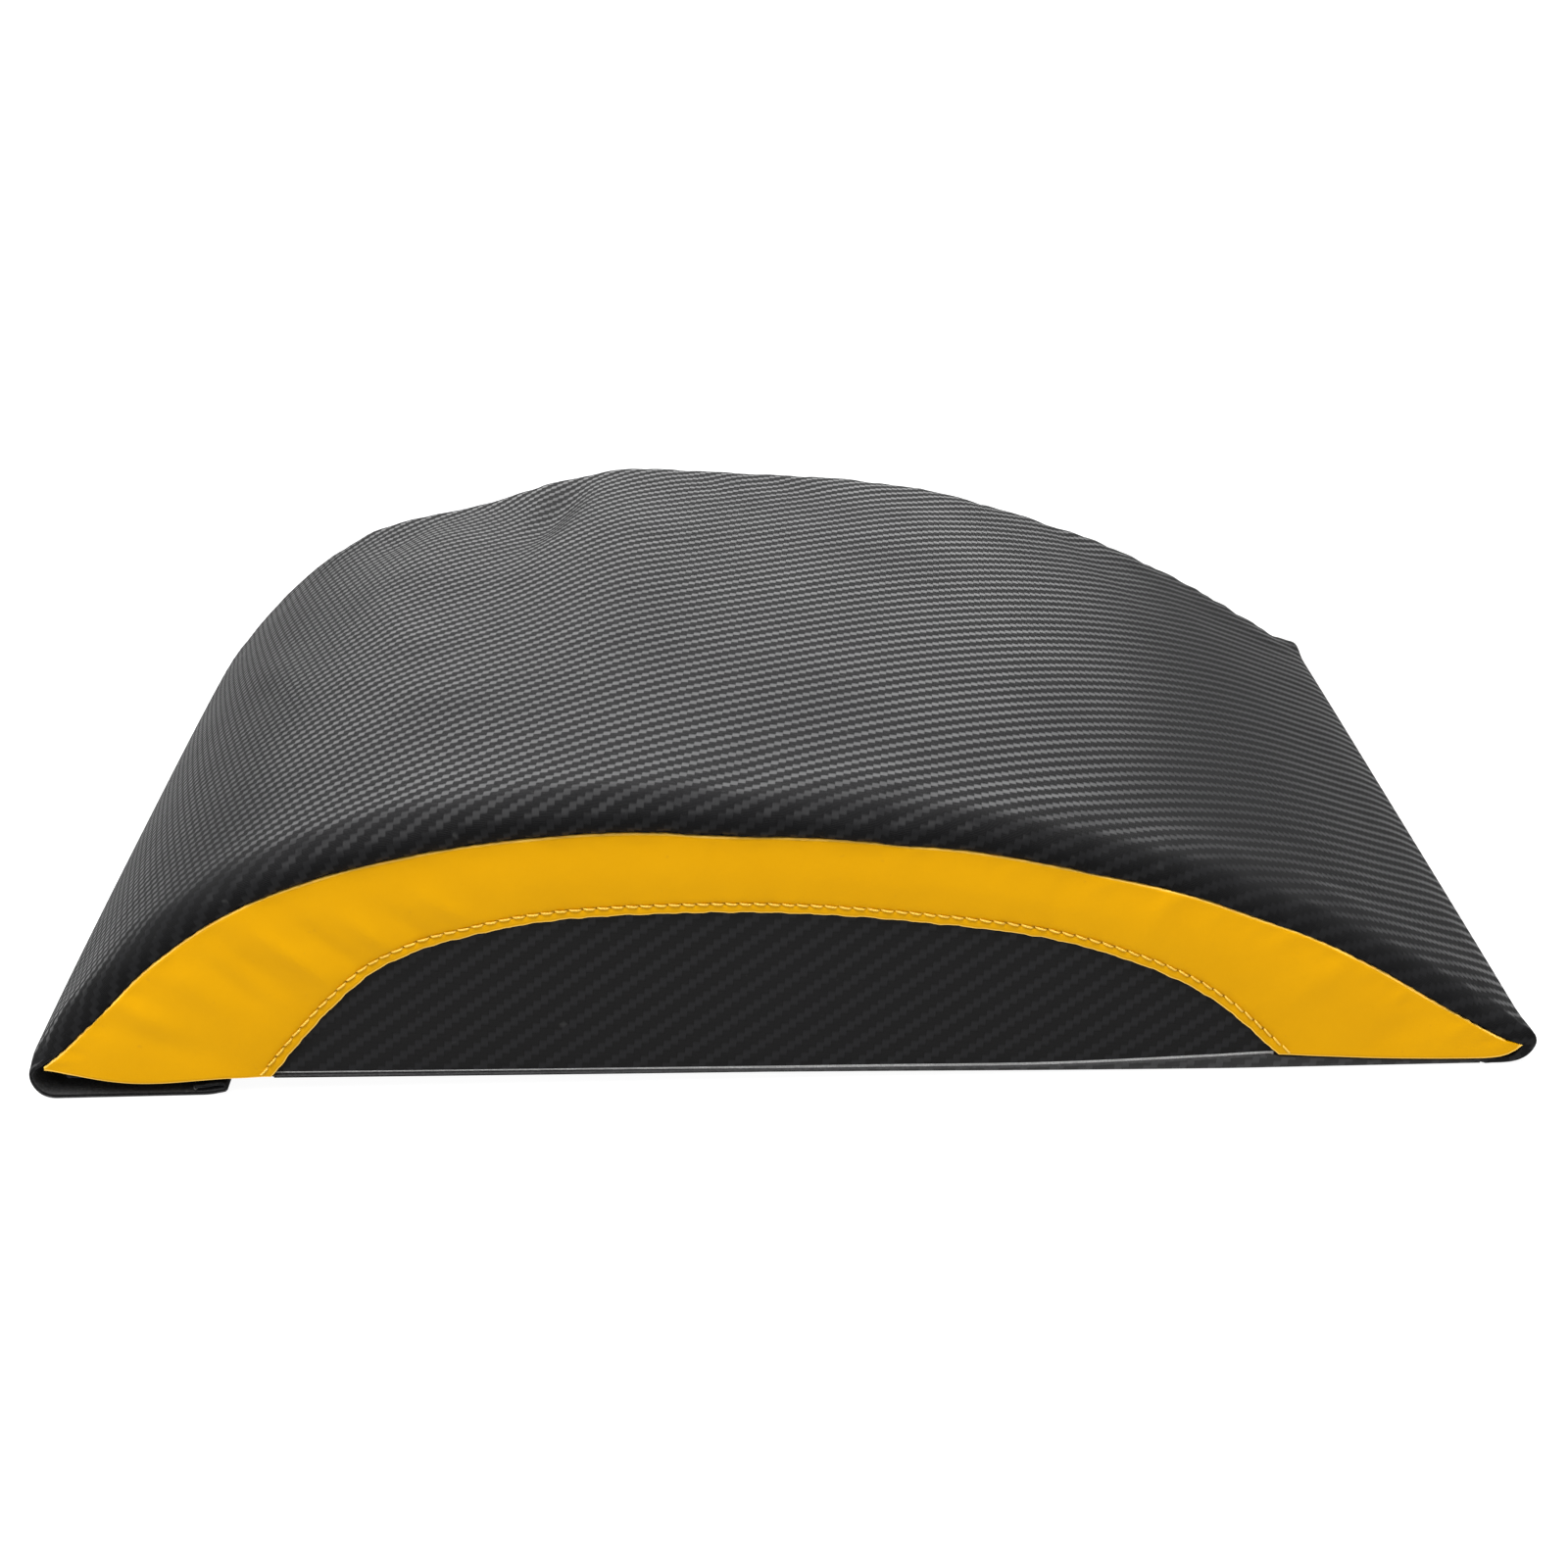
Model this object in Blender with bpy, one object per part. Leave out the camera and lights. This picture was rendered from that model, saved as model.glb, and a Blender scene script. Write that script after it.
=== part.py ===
"""A curved sit-up mat: a foam core in a sewn cover that closes under one end with hook-and-loop tape.

The tail, where the cover closes, is at -X and the thin nose is at +X. The front side is at -Y. The
origin is on the floor under the middle of the mat, Z is up, and all lengths are in metres. The mat
stands on its closure flap and on its nose, so its underside slopes down a little from tail to nose.
"""

import math
from collections import namedtuple

import bmesh
import bpy
from mathutils import Vector

# Overall sizes
LENGTH = 0.380
WIDTH = 0.305
HEIGHT = 0.0800

# Sheets, tapes and clearances
COVER = 0.0010  # thickness of the coated fabric
HOOK_THICK = 0.0013
LOOP_THICK = 0.0013
GAP = 0.0003  # between two faces that touch on the real mat
FOAM_GAP = 0.0005  # between the foam and the cover round it

# The crown line, which runs over the middle of the mat from the tail fold to the nose fold
TAIL_FOLD = 0.0070  # outer radius of the fold at the tail
NOSE_FOLD = 0.0050  # outer radius of the fold at the nose
TAIL_TURN = 40.0  # degrees of the tail fold above its outermost line
NOSE_TURN = 57.0  # degrees of the nose fold above its outermost line
CROWN_SHARES = (  # of the length from the tail, and of the height
    (0.033, 0.320),
    (0.079, 0.540),
    (0.132, 0.722),
    (0.189, 0.845),
    (0.276, 0.949),
    (0.382, 1.000),
    (0.500, 0.972),
    (0.618, 0.905),
    (0.742, 0.758),
    (0.853, 0.538),
    (0.934, 0.308),
)
PROFILE_STEP = 0.0125  # longest step between the cross-sections

# The roll of the top sheet down to its side seams
ROLL_WIDTH = 0.010  # how far in from the seam the top sheet starts to roll
ROLL_DROP = 0.0106  # how far the seam lies below the crown line, where that is most
ROLL_SHARES = (  # of the crown line from the tail fold, and of ROLL_DROP
    (0.000, 0.06),
    (0.015, 0.36),
    (0.050, 0.64),
    (0.105, 0.70),
    (0.165, 0.80),
    (0.225, 0.92),
    (0.330, 1.00),
    (0.580, 0.93),
    (0.690, 0.84),
    (0.790, 0.68),
    (0.900, 0.48),
    (0.960, 0.38),
    (0.985, 0.22),
    (1.000, 0.06),
)
ROLL_OPEN = 50.0  # degrees up its ellipse at which the roll ends where it has no depth
ROLL_TUCK = -32.0  # and at full depth, where it is tucked in under itself
CROWN_SAG = 0.0010  # how much lower the top is beside its rolls than along its middle
SEAM_INSET = 0.0015  # how far the side seams are drawn in from the widest point
ROLL_STEPS = 4
MIDDLE_STEPS = 5

# The two sides, each a black panel with a coloured band sewn on it
TAIL_TIP_INSET = 0.0050  # from the tail to the blunt tip of the sides
NOSE_TIP_INSET = 0.0022  # from the nose to the point of the sides
TAIL_TIP = 0.0008  # height of the blunt tip
BAND_LOW = 0.0038  # how high the band's lower edge hangs over the middle of the closed flap
BAND_WIDTH = 0.0222  # from the seam down to the top of the band's inner edge
ARCH_TAIL_FOOT = 0.0110  # from the flap's free edge to where the inner edge comes down at the tail
ARCH_NOSE_FOOT = 0.0650  # from the nose to where it comes down there
ARCH_SHARES = (  # of the span between the feet, and of the height of the inner edge's top
    (0.043, 0.370),
    (0.115, 0.725),
    (0.224, 0.920),
    (0.411, 1.000),
    (0.638, 0.920),
    (0.811, 0.740),
    (0.929, 0.440),
)
ARCH_STEP = 0.0075
STITCH_INSET = 0.0024  # from the band's inner edge to its topstitching
STITCH_END = 0.0015  # from the band's lower edge to the ends of its topstitching
THREAD = 0.0005  # diameter

# The bottom sheet, whose long edges turn up to the side seams
RIM_LOW = 0.0013  # height of the turned-up edge along the middle
RIM_HIGH = 0.0027  # and near the nose
RIM_SHARES = ((0.0, 0.0), (0.50, 0.0), (0.85, 0.9), (0.93, 1.0))  # of the length, from low to high
RIM_CHAMFER = 0.0004
RIM_RUN = 0.004  # length over which the edge rises behind the flap and falls before the nose fold
BOTTOM_TAIL_INSET = 0.0095  # from the tail to the bottom sheet's open edge
BOTTOM_STEPS = 14

# The closure under the tail
FLAP_REACH = 0.050  # from the tail to the flap's free edge
HEM = 0.0085  # width of the hem on the free edge
HEM_LAYERS = 3  # the sheet is folded over twice
HEM_LIFT = 0.0010  # how far the free edge curls up from the floor
TAPE_INSET = 0.0135  # from the tail to the near edge of both tapes
TAPE_HEM_MARGIN = 0.0030  # from their far edge to the hem
TAPE_END_MARGIN = 0.0075  # from the side seam to the end of a tape
FOLD_STEPS = 5

# The foam core
FOAM_TAIL_INSET = 0.0015  # from the tail to the crown line's first point over the foam
FOAM_NOSE_INSET = 0.0075  # and from the nose to its last
FOAM_BOTTOM_STEPS = 8
FOAM_SLICE_SHARES = (0.0, 0.5, 1.0)  # of the flat middle's half width

# Places that follow from the sizes
TAIL_X = -LENGTH / 2
NOSE_X = LENGTH / 2
SEAM_Y = WIDTH / 2 - SEAM_INSET  # outer face of the bands
PANEL_Y = SEAM_Y - COVER - GAP  # outer face of the black side panels
FOAM_Y = PANEL_Y - COVER - GAP  # side face of the foam
FLAP_END_X = TAIL_X + FLAP_REACH
TAPE_WIDTH = FLAP_REACH - HEM - TAPE_HEM_MARGIN - TAPE_INSET
TAPE_X = TAIL_X + TAPE_INSET + TAPE_WIDTH / 2
TAPE_Y = SEAM_Y - TAPE_END_MARGIN
HOOK_BASE = COVER + GAP
LOOP_BASE = HOOK_BASE + HOOK_THICK + GAP
STACK = LOOP_BASE + LOOP_THICK + GAP  # height of the closed flap with both its tapes
REST_X = NOSE_X - NOSE_FOLD  # where the underside meets the floor
SLOPE = STACK / (REST_X - TAPE_X - TAPE_WIDTH / 2)
NOSE_POINT = Vector((NOSE_X - NOSE_TIP_INSET, NOSE_FOLD))

CARBON = ((0.030, 0.030, 0.032), 0.42)  # colour and roughness
YELLOW = ((0.80, 0.43, 0.015), 0.50)
FOAM = ((0.045, 0.045, 0.048), 0.90)
HOOK = ((0.012, 0.012, 0.012), 0.75)
LOOP = ((0.015, 0.014, 0.013), 0.95)
THREAD_YELLOW = ((0.85, 0.55, 0.08), 0.60)

Station = namedtuple("Station", "point normal drop roll sag")


def lerp(a, b, t):
    return a + (b - a) * t


def hermite(a, b, slope_a, slope_b, span, t):
    """The value a share t along a cubic from a to b, with the slopes given at its ends."""
    square, cube = t * t, t * t * t
    return (
        (2 * cube - 3 * square + 1) * a
        + (cube - 2 * square + t) * span * slope_a
        + (3 * square - 2 * cube) * b
        + (cube - square) * span * slope_b
    )


def slopes(places, values):
    """The slope of a smooth curve at each of its values, from the values on either side."""
    spans = [b - a for a, b in zip(places, places[1:])]
    runs = [(b - a) / span for a, b, span in zip(values, values[1:], spans)]
    inner = [
        (after * run_before + before * run_after) / (before + after)
        for before, after, run_before, run_after in zip(spans, spans[1:], runs, runs[1:])
    ]
    return [runs[0], *inner, runs[-1]]


def read(table, place):
    """The value at a place on the smooth curve through a table of places and values."""
    places, values = zip(*table)
    found = slopes(places, values)
    place = min(max(place, places[0]), places[-1])
    i = max(k for k in range(len(places) - 1) if places[k] <= place)
    span = places[i + 1] - places[i]
    return hermite(values[i], values[i + 1], found[i], found[i + 1], span, (place - places[i]) / span)


def running_lengths(points):
    """How far along a line each of its points lies."""
    lengths = [0.0]
    for a, b in zip(points, points[1:]):
        lengths.append(lengths[-1] + (b - a).length)
    return lengths


def smooth(knots, step):
    """Points of a smooth curve through the knots, no further apart than the step."""
    places = running_lengths(knots)
    found = slopes(places, knots)
    points = [knots[0]]
    for i in range(len(knots) - 1):
        span = places[i + 1] - places[i]
        count = max(1, math.ceil(span / step))
        for k in range(1, count + 1):
            points.append(hermite(knots[i], knots[i + 1], found[i], found[i + 1], span, k / count))
    return points


def arc(centre, radius, first, last, steps):
    """Points of an arc in the XZ plane, from the first to the last angle in degrees."""
    angles = [math.radians(lerp(first, last, k / steps)) for k in range(steps + 1)]
    return [centre + radius * Vector((math.cos(a), math.sin(a))) for a in angles]


def outward(points):
    """The outward normals of a line in the XZ plane that runs from tail to nose over the mat."""
    ends = [points[0], *points, points[-1]]
    chords = [(after - before).normalized() for before, after in zip(ends, ends[2:])]
    return [Vector((-c.y, c.x)) for c in chords]


def under(x):
    """Height of the mat's underside above the floor."""
    return SLOPE * (REST_X - x)


def cut(points, first, last):
    """The stretch of a line between two places along X, with new ends at those places."""
    kept = []
    for a, b in zip(points, points[1:]):
        for x in (first, last):
            if min(a.x, b.x) < x < max(a.x, b.x):
                kept.append(a.lerp(b, (x - a.x) / (b.x - a.x)))
        if first <= b.x <= last:
            kept.append(b)
    return kept


def stations():
    """The crown line's points, each with its normal and the size of the roll beside it."""
    tail = arc(Vector((TAIL_X + TAIL_FOLD, TAIL_FOLD)), TAIL_FOLD, 180.0, 180.0 - TAIL_TURN, 2)
    nose = arc(Vector((NOSE_X - NOSE_FOLD, NOSE_FOLD)), NOSE_FOLD, NOSE_TURN, 0.0, 3)
    body = [Vector((TAIL_X + x * LENGTH, z * HEIGHT)) for x, z in CROWN_SHARES]
    line = smooth([*tail, *body, *nose], PROFILE_STEP)
    normals = outward(line)
    normals[0] = Vector((-1.0, 0.0))
    normals[-1] = Vector((1.0, 0.0))
    lengths = running_lengths(line)
    found = []
    for point, normal, length in zip(line, normals, lengths):
        share = read(ROLL_SHARES, length / lengths[-1])
        sag = CROWN_SAG * share
        start = math.radians(lerp(ROLL_OPEN, ROLL_TUCK, share))
        high = (ROLL_DROP * share - sag) / (1 - math.sin(start))
        found.append(Station(point, normal, ROLL_DROP * share, (start, high), sag))
    return found


def roll_centre(station):
    """Half the width of the top's flat middle."""
    return SEAM_Y - ROLL_WIDTH * math.cos(station.roll[0])


def across(station):
    """The top sheet's outer face from the front seam to its middle, as (y, depth, normal y, normal up)."""
    start, high = station.roll
    centre = roll_centre(station)
    points = []
    for k in range(ROLL_STEPS + 1):
        angle = lerp(start, math.pi / 2, k / ROLL_STEPS)
        facing = Vector((math.cos(angle) / ROLL_WIDTH, math.sin(angle) / high)).normalized()
        y = centre + ROLL_WIDTH * math.cos(angle)
        depth = station.sag + high * (1 - math.sin(angle))
        points.append((-y, depth, -facing.x, facing.y))
    return points


def top_grids(line):
    """The outer and inner faces of the top sheet, one row for each station."""
    outer, inner = [], []
    for station in line:
        side = across(station)
        centre = roll_centre(station)
        middle = []
        for k in range(1, MIDDLE_STEPS):
            share = 2 * k / MIDDLE_STEPS - 1
            middle.append((centre * share, station.sag * share * share, 0.0, 1.0))
        far = [(-y, depth, -facing_y, up) for y, depth, facing_y, up in reversed(side)]
        row_out, row_in = [], []
        for y, depth, facing_y, up in [*side, *middle, *far]:
            flat = station.point - station.normal * depth
            point = Vector((flat.x, y, flat.y))
            facing = Vector((station.normal.x * up, facing_y, station.normal.y * up))
            row_out.append(point)
            row_in.append(point - COVER * facing)
        outer.append(row_out)
        inner.append(row_in)
    return outer, inner


def seam_line(line):
    """The top edge of the side pieces, just under the top sheet's edge, up to where the nose folds."""
    points = []
    for station in line:
        *_, up = across(station)[0]
        depth = station.drop + COVER * max(up, 0.0) + GAP
        points.append(station.point - station.normal * depth)
    return cut(points, TAIL_X + TAIL_TIP_INSET, REST_X)


def rim(x):
    """Height of the bottom sheet's turned-up edge above the underside."""
    full = lerp(RIM_LOW, RIM_HIGH, read(RIM_SHARES, (x - TAIL_X) / LENGTH))
    rising = min(max((x - FLAP_END_X) / RIM_RUN, 0.0), 1.0)
    falling = min(max((REST_X - x) / RIM_RUN, 0.0), 1.0)
    return lerp(COVER, max(full, COVER), min(rising, falling))


def rim_places():
    """The places along X, from the flap's free edge to the nose, between which the rim runs straight."""
    first, last = FLAP_END_X + RIM_RUN, REST_X - RIM_RUN
    return [FLAP_END_X, *(lerp(first, last, k / BOTTOM_STEPS) for k in range(BOTTOM_STEPS + 1)), REST_X]


def on_rim(x):
    """A point of a band's lower edge beyond the flap, where it stands on the bottom sheet's rim."""
    return Vector((x, under(x) + rim(x) + GAP))


def edge_on_rim(nose_end, tail_end):
    """A band's lower edge between two places along X beyond the flap."""
    between = [x for x in reversed(rim_places()) if tail_end < x < nose_end]
    return [on_rim(x) for x in (nose_end, *between, tail_end)]


def arch_line():
    """The band's inner edge, from its foot at the tail end to its foot at the nose end."""
    tail, nose = FLAP_END_X + ARCH_TAIL_FOOT, NOSE_X - ARCH_NOSE_FOOT
    top = HEIGHT - ROLL_DROP - BAND_WIDTH
    knots = [Vector((lerp(tail, nose, x), z * top)) for x, z in ARCH_SHARES]
    return smooth([on_rim(tail), *knots, on_rim(nose)], ARCH_STEP)


def band_outline(line):
    """The band's outline: the seam, the nose, its lower edge, the arch, and the edge over the flap."""
    seam = seam_line(line)
    arch = arch_line()
    nose_edge = edge_on_rim(REST_X, arch[-1].x)
    tail_edge = edge_on_rim(arch[0].x, FLAP_END_X)
    tip = seam[0] - Vector((0.0, TAIL_TIP))
    over_flap = smooth([tail_edge[-1], Vector((TAPE_X, BAND_LOW)), tip], ARCH_STEP)
    return [*seam, NOSE_POINT, *nose_edge, *reversed(arch[1:-1]), *tail_edge, *over_flap[1:]]


def panel_outline(line):
    """The black side panel's outline, which stands on the bottom sheet."""
    seam = seam_line(line)
    tip = seam[0] - Vector((0.0, TAIL_TIP))
    foot = [Vector((x, under(x) + COVER + GAP)) for x in (REST_X, TAIL_X + BOTTOM_TAIL_INSET)]
    return [*seam, NOSE_POINT, *foot, tip]


def thread_line():
    """The topstitching, which follows the arch a little way outside it."""
    arch = arch_line()
    points = [p + STITCH_INSET * n for p, n in zip(arch, outward(arch))]
    return [p for p in points if p.y > on_rim(p.x).y + STITCH_END]


def join_mesh(name, points, faces, parent_place):
    """A mesh of the points, told from the place of its parent, with its faces turned outwards."""
    mesh = bpy.data.meshes.new(name)
    mesh.from_pydata([p - parent_place for p in points], [], faces)
    work = bmesh.new()
    work.from_mesh(mesh)
    bmesh.ops.recalc_face_normals(work, faces=work.faces[:])
    work.to_mesh(mesh)
    work.free()
    return mesh


def sheet_faces(rows, columns):
    """The faces of a thin solid whose outer grid of points is followed by its inner grid."""
    count = rows * columns
    faces = []
    for i in range(rows - 1):
        for k in range(columns - 1):
            a, b = i * columns + k, (i + 1) * columns + k
            faces.append((a, b, b + 1, a + 1))
            faces.append((a + count, a + 1 + count, b + 1 + count, b + count))
    for i in range(rows - 1):
        for k in (0, columns - 1):
            a, b = i * columns + k, (i + 1) * columns + k
            faces.append((a, b, b + count, a + count))
    for k in range(columns - 1):
        for i in (0, rows - 1):
            a = i * columns + k
            faces.append((a, a + 1, a + 1 + count, a + count))
    return faces


def ring_faces(rings, size):
    """The faces of a solid that is a row of rings of points, closed at both ends."""
    faces = [tuple(range(size)), tuple((rings - 1) * size + k for k in range(size))]
    for i in range(rings - 1):
        for k in range(size):
            after = (k + 1) % size
            faces.append((i * size + k, i * size + after, (i + 1) * size + after, (i + 1) * size + k))
    return faces


def material(name, look):
    """A material of the given colour and roughness, with nothing metallic."""
    colour, roughness = look
    made = bpy.data.materials.new(name)
    made.use_nodes = True
    shader = made.node_tree.nodes["Principled BSDF"]
    shader.inputs["Base Color"].default_value = (*colour, 1.0)
    shader.inputs["Roughness"].default_value = roughness
    shader.inputs["Metallic"].default_value = 0.0
    return made


def add(name, data, look, parent):
    """An object on its parent, with a material of its own."""
    made = bpy.data.objects.new(name, data)
    bpy.context.scene.collection.objects.link(made)
    made.parent = parent
    data.materials.append(material(name, look))
    if made.type == "MESH":
        data.shade_smooth()
        data.set_sharp_from_angle(angle=math.radians(40.0))
    return made


def add_empty(name, place):
    made = bpy.data.objects.new(name, None)
    made.location = place
    bpy.context.scene.collection.objects.link(made)
    return made


def add_sheet(name, outer, inner, look, parent):
    """A thin sheet between two grids of points."""
    points = [p for grid in (outer, inner) for row in grid for p in row]
    faces = sheet_faces(len(outer), len(outer[0]))
    return add(name, join_mesh(name, points, faces, parent.location), look, parent)


def add_plate(name, outline, outer_y, inner_y, look, parent):
    """A flat plate of one outline in the XZ plane, between two places along Y."""
    points = [Vector((p.x, y, p.y)) for y in (outer_y, inner_y) for p in outline]
    faces = ring_faces(2, len(outline))
    return add(name, join_mesh(name, points, faces, parent.location), look, parent)


def add_foam(line, mat):
    """The foam core, in slices across the width that follow the inside of the cover."""
    clear = COVER + FOAM_GAP
    first, last = TAIL_X + FOAM_TAIL_INSET, NOSE_X - FOAM_NOSE_INSET
    used = [s for s in line if first <= s.point.x <= last]
    middle = min(roll_centre(s) for s in used)
    half = [share * middle for share in FOAM_SLICE_SHARES]
    half += [lerp(middle, FOAM_Y, 0.5), FOAM_Y]
    places = [-y for y in reversed(half[1:])] + half
    points = []
    for y in places:
        top = []
        for station in used:
            out = max(abs(y) - roll_centre(station), 0.0) / (ROLL_WIDTH - clear)
            depth = clear + station.sag + station.roll[1] * (1 - math.sqrt(1 - out * out))
            flat = station.point - station.normal * depth
            top.append(Vector((flat.x, y, flat.y)))
        for k in range(FOAM_BOTTOM_STEPS + 1):
            x = lerp(top[len(used) - 1].x, top[0].x, k / FOAM_BOTTOM_STEPS)
            top.append(Vector((x, y, under(x) + clear)))
        points.append(top)
    faces = ring_faces(len(points), len(points[0]))
    flat_points = [p for row in points for p in row]
    mesh = join_mesh("foam_core", flat_points, faces, mat.location)
    return add("foam_core", mesh, FOAM, mat)


def bottom_line():
    """The underside from the open edge at the tail, along the floor and up round the nose."""
    flat = [Vector((x, under(x))) for x in (TAIL_X + BOTTOM_TAIL_INSET, *rim_places()[:-1])]
    centre = Vector((NOSE_X - NOSE_FOLD, NOSE_FOLD))
    slack = math.degrees(GAP / NOSE_FOLD)
    return flat, arc(centre, NOSE_FOLD, -90.0, -slack, FOLD_STEPS)


def add_bottom(mat):
    """The bottom sheet, a shallow tray whose nose end turns up to meet the top sheet."""
    flat, fold = bottom_line()
    line = flat + fold
    normals = [-n for n in outward(line)]
    outer, inner = [], []
    for point, normal in zip(line, normals):
        edge = SEAM_Y if point.x > FLAP_END_X else FOAM_Y
        high = rim(point.x) if point in flat else COVER
        half_out = [(edge, high), (edge, RIM_CHAMFER), (edge - RIM_CHAMFER, 0.0), (edge / 2, 0.0)]
        half_in = [(edge - COVER, high), (edge - COVER, COVER), (edge - 1.5 * COVER, COVER)]
        half_in.append((edge / 2, COVER))
        for half, grid in ((half_out, outer), (half_in, inner)):
            row = [(-y, depth) for y, depth in half] + [(y, depth) for y, depth in reversed(half)]
            shifted = [(y, point - normal * depth) for y, depth in row]
            grid.append([Vector((p.x, y, p.y)) for y, p in shifted])
    return add_sheet("bottom_panel", outer, inner, CARBON, mat)


def add_flap(hinge):
    """The flap: the cover's tail end, which folds under the mat and ends in a hem."""
    centre = Vector((TAIL_X + TAIL_FOLD, TAIL_FOLD))
    slack = math.degrees(GAP / TAIL_FOLD)
    line = arc(centre, TAIL_FOLD, 180.0 + slack, 270.0, FOLD_STEPS)
    hem_x = FLAP_END_X - HEM
    line += [Vector((x, 0.0)) for x in (hem_x - COVER, hem_x)]
    line += [Vector((lerp(hem_x, FLAP_END_X, 0.5), HEM_LIFT / 4)), Vector((FLAP_END_X, HEM_LIFT))]
    normals = [-n for n in outward(line)]
    outer, inner = [], []
    for point, normal in zip(line, normals):
        thick = HEM_LAYERS * COVER if point.x >= hem_x else COVER
        for depth, grid in ((0.0, outer), (thick, inner)):
            flat = point - normal * depth
            grid.append([Vector((flat.x, y, flat.y)) for y in (-SEAM_Y, 0.0, SEAM_Y)])
    return add_sheet("closure_flap", outer, inner, CARBON, hinge)


def tape_grid(base):
    """A rectangle of the tape's size; base gives its height at a place along X."""
    edges = (TAPE_X - TAPE_WIDTH / 2, TAPE_X + TAPE_WIDTH / 2)
    return [[Vector((x, y, base(x))) for y in (-TAPE_Y, 0.0, TAPE_Y)] for x in edges]


def add_tapes(mat, hinge):
    """The hook tape on the flap and the loop tape under the bottom sheet."""
    low, high = tape_grid(lambda x: HOOK_BASE), tape_grid(lambda x: HOOK_BASE + HOOK_THICK)
    add_sheet("hook_tape", low, high, HOOK, hinge)
    high = tape_grid(lambda x: under(x) - GAP)
    low = tape_grid(lambda x: under(x) - GAP - LOOP_THICK)
    add_sheet("loop_tape", low, high, LOOP, mat)


def add_thread(name, side, mat):
    """One line of topstitching, laid on its band."""
    y = side * (SEAM_Y + GAP + THREAD / 2)
    data = bpy.data.curves.new(name, "CURVE")
    data.dimensions = "3D"
    data.bevel_depth = THREAD / 2
    data.bevel_resolution = 1
    data.use_fill_caps = True
    points = thread_line()
    spline = data.splines.new("POLY")
    spline.points.add(len(points) - 1)
    for place, point in zip(spline.points, points):
        place.co = (point.x, y, point.y, 1.0)
    return add(name, data, THREAD_YELLOW, mat)


def main():
    for old in list(bpy.data.objects):
        bpy.data.objects.remove(old)
    mat = add_empty("mat", Vector((0.0, 0.0, 0.0)))
    hinge = add_empty("flap_hinge", Vector((TAIL_X, 0.0, TAIL_FOLD)))
    line = stations()
    add_foam(line, mat)
    add_sheet("top_panel", *top_grids(line), CARBON, mat)
    add_bottom(mat)
    for name, side in (("front", -1), ("rear", 1)):
        outline, band = panel_outline(line), band_outline(line)
        inner_y, band_y = side * (PANEL_Y - COVER), side * (SEAM_Y - COVER)
        add_plate(f"{name}_side_panel", outline, side * PANEL_Y, inner_y, CARBON, mat)
        add_plate(f"{name}_side_band", band, side * SEAM_Y, band_y, YELLOW, mat)
        add_thread(f"{name}_band_stitching", side, mat)
    add_flap(hinge)
    add_tapes(mat, hinge)


main()
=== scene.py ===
"""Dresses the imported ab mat: a sewn cover of coated twill-look sheet over foam, closed under its tail.

The frame is that of the CAD: the tail is at -X, the nose at +X, the front side at -Y, the floor at Z 0,
and all lengths are in metres. Distances along the long sheet are told from the flap's hinge line.
"""

import math

import bpy
import numpy as np
from mathutils import Matrix, Vector


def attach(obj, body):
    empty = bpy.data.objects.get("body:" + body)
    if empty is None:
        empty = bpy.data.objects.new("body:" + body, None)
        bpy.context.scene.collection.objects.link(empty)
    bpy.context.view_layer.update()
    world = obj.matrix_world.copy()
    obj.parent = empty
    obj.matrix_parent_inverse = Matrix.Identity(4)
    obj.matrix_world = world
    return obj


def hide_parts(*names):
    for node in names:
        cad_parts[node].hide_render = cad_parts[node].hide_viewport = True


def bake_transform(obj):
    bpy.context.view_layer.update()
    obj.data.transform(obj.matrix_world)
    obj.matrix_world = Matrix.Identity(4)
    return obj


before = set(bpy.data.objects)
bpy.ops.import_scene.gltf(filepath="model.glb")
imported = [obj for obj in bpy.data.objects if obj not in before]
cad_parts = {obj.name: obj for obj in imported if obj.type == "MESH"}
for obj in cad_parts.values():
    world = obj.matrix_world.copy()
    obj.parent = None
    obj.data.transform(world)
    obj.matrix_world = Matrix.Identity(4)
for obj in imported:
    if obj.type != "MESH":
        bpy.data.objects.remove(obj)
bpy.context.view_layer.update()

# Sizes that the CAD has too
LENGTH = 0.380
HEIGHT = 0.0800
SEAM_Y = 0.1510
COVER = 0.0010
GAP = 0.0003
TAPE_THICK = 0.0013
TAIL_FOLD = 0.0070
NOSE_FOLD = 0.0050
TAIL_TURN = 40.0
NOSE_TURN = 57.0
CROWN_SHARES = (  # the crown's outline: shares of the length and of the height
    (0.033, 0.320), (0.079, 0.540), (0.132, 0.722), (0.189, 0.845), (0.276, 0.949), (0.382, 1.000),
    (0.500, 0.972), (0.618, 0.905), (0.742, 0.758), (0.853, 0.538), (0.934, 0.308),
)
ROLL_WIDTH = 0.010
ROLL_DROP = 0.0106
ROLL_SHARES = (  # share of the crown's length, and how much of its full drop the roll has there
    (0.000, 0.06), (0.015, 0.36), (0.050, 0.64), (0.105, 0.70), (0.165, 0.80), (0.225, 0.92), (0.330, 1.00),
    (0.580, 0.93), (0.690, 0.84), (0.790, 0.68), (0.900, 0.52), (0.960, 0.52), (0.985, 0.45), (1.000, 0.38),
)
ROLL_OPEN = 50.0
ROLL_TUCK = -32.0
CROWN_SAG = 0.0010
TAIL_TIP_INSET = 0.0043
NOSE_TIP_INSET = 0.0031
NOSE_TIP_HIGH = 0.0055
NOSE_CORNER = (0.0101, 0.0088)  # half widths of the rounding under the band's tip
NOSE_CORNER_END = -38.0  # and where on it the tip lies
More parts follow.
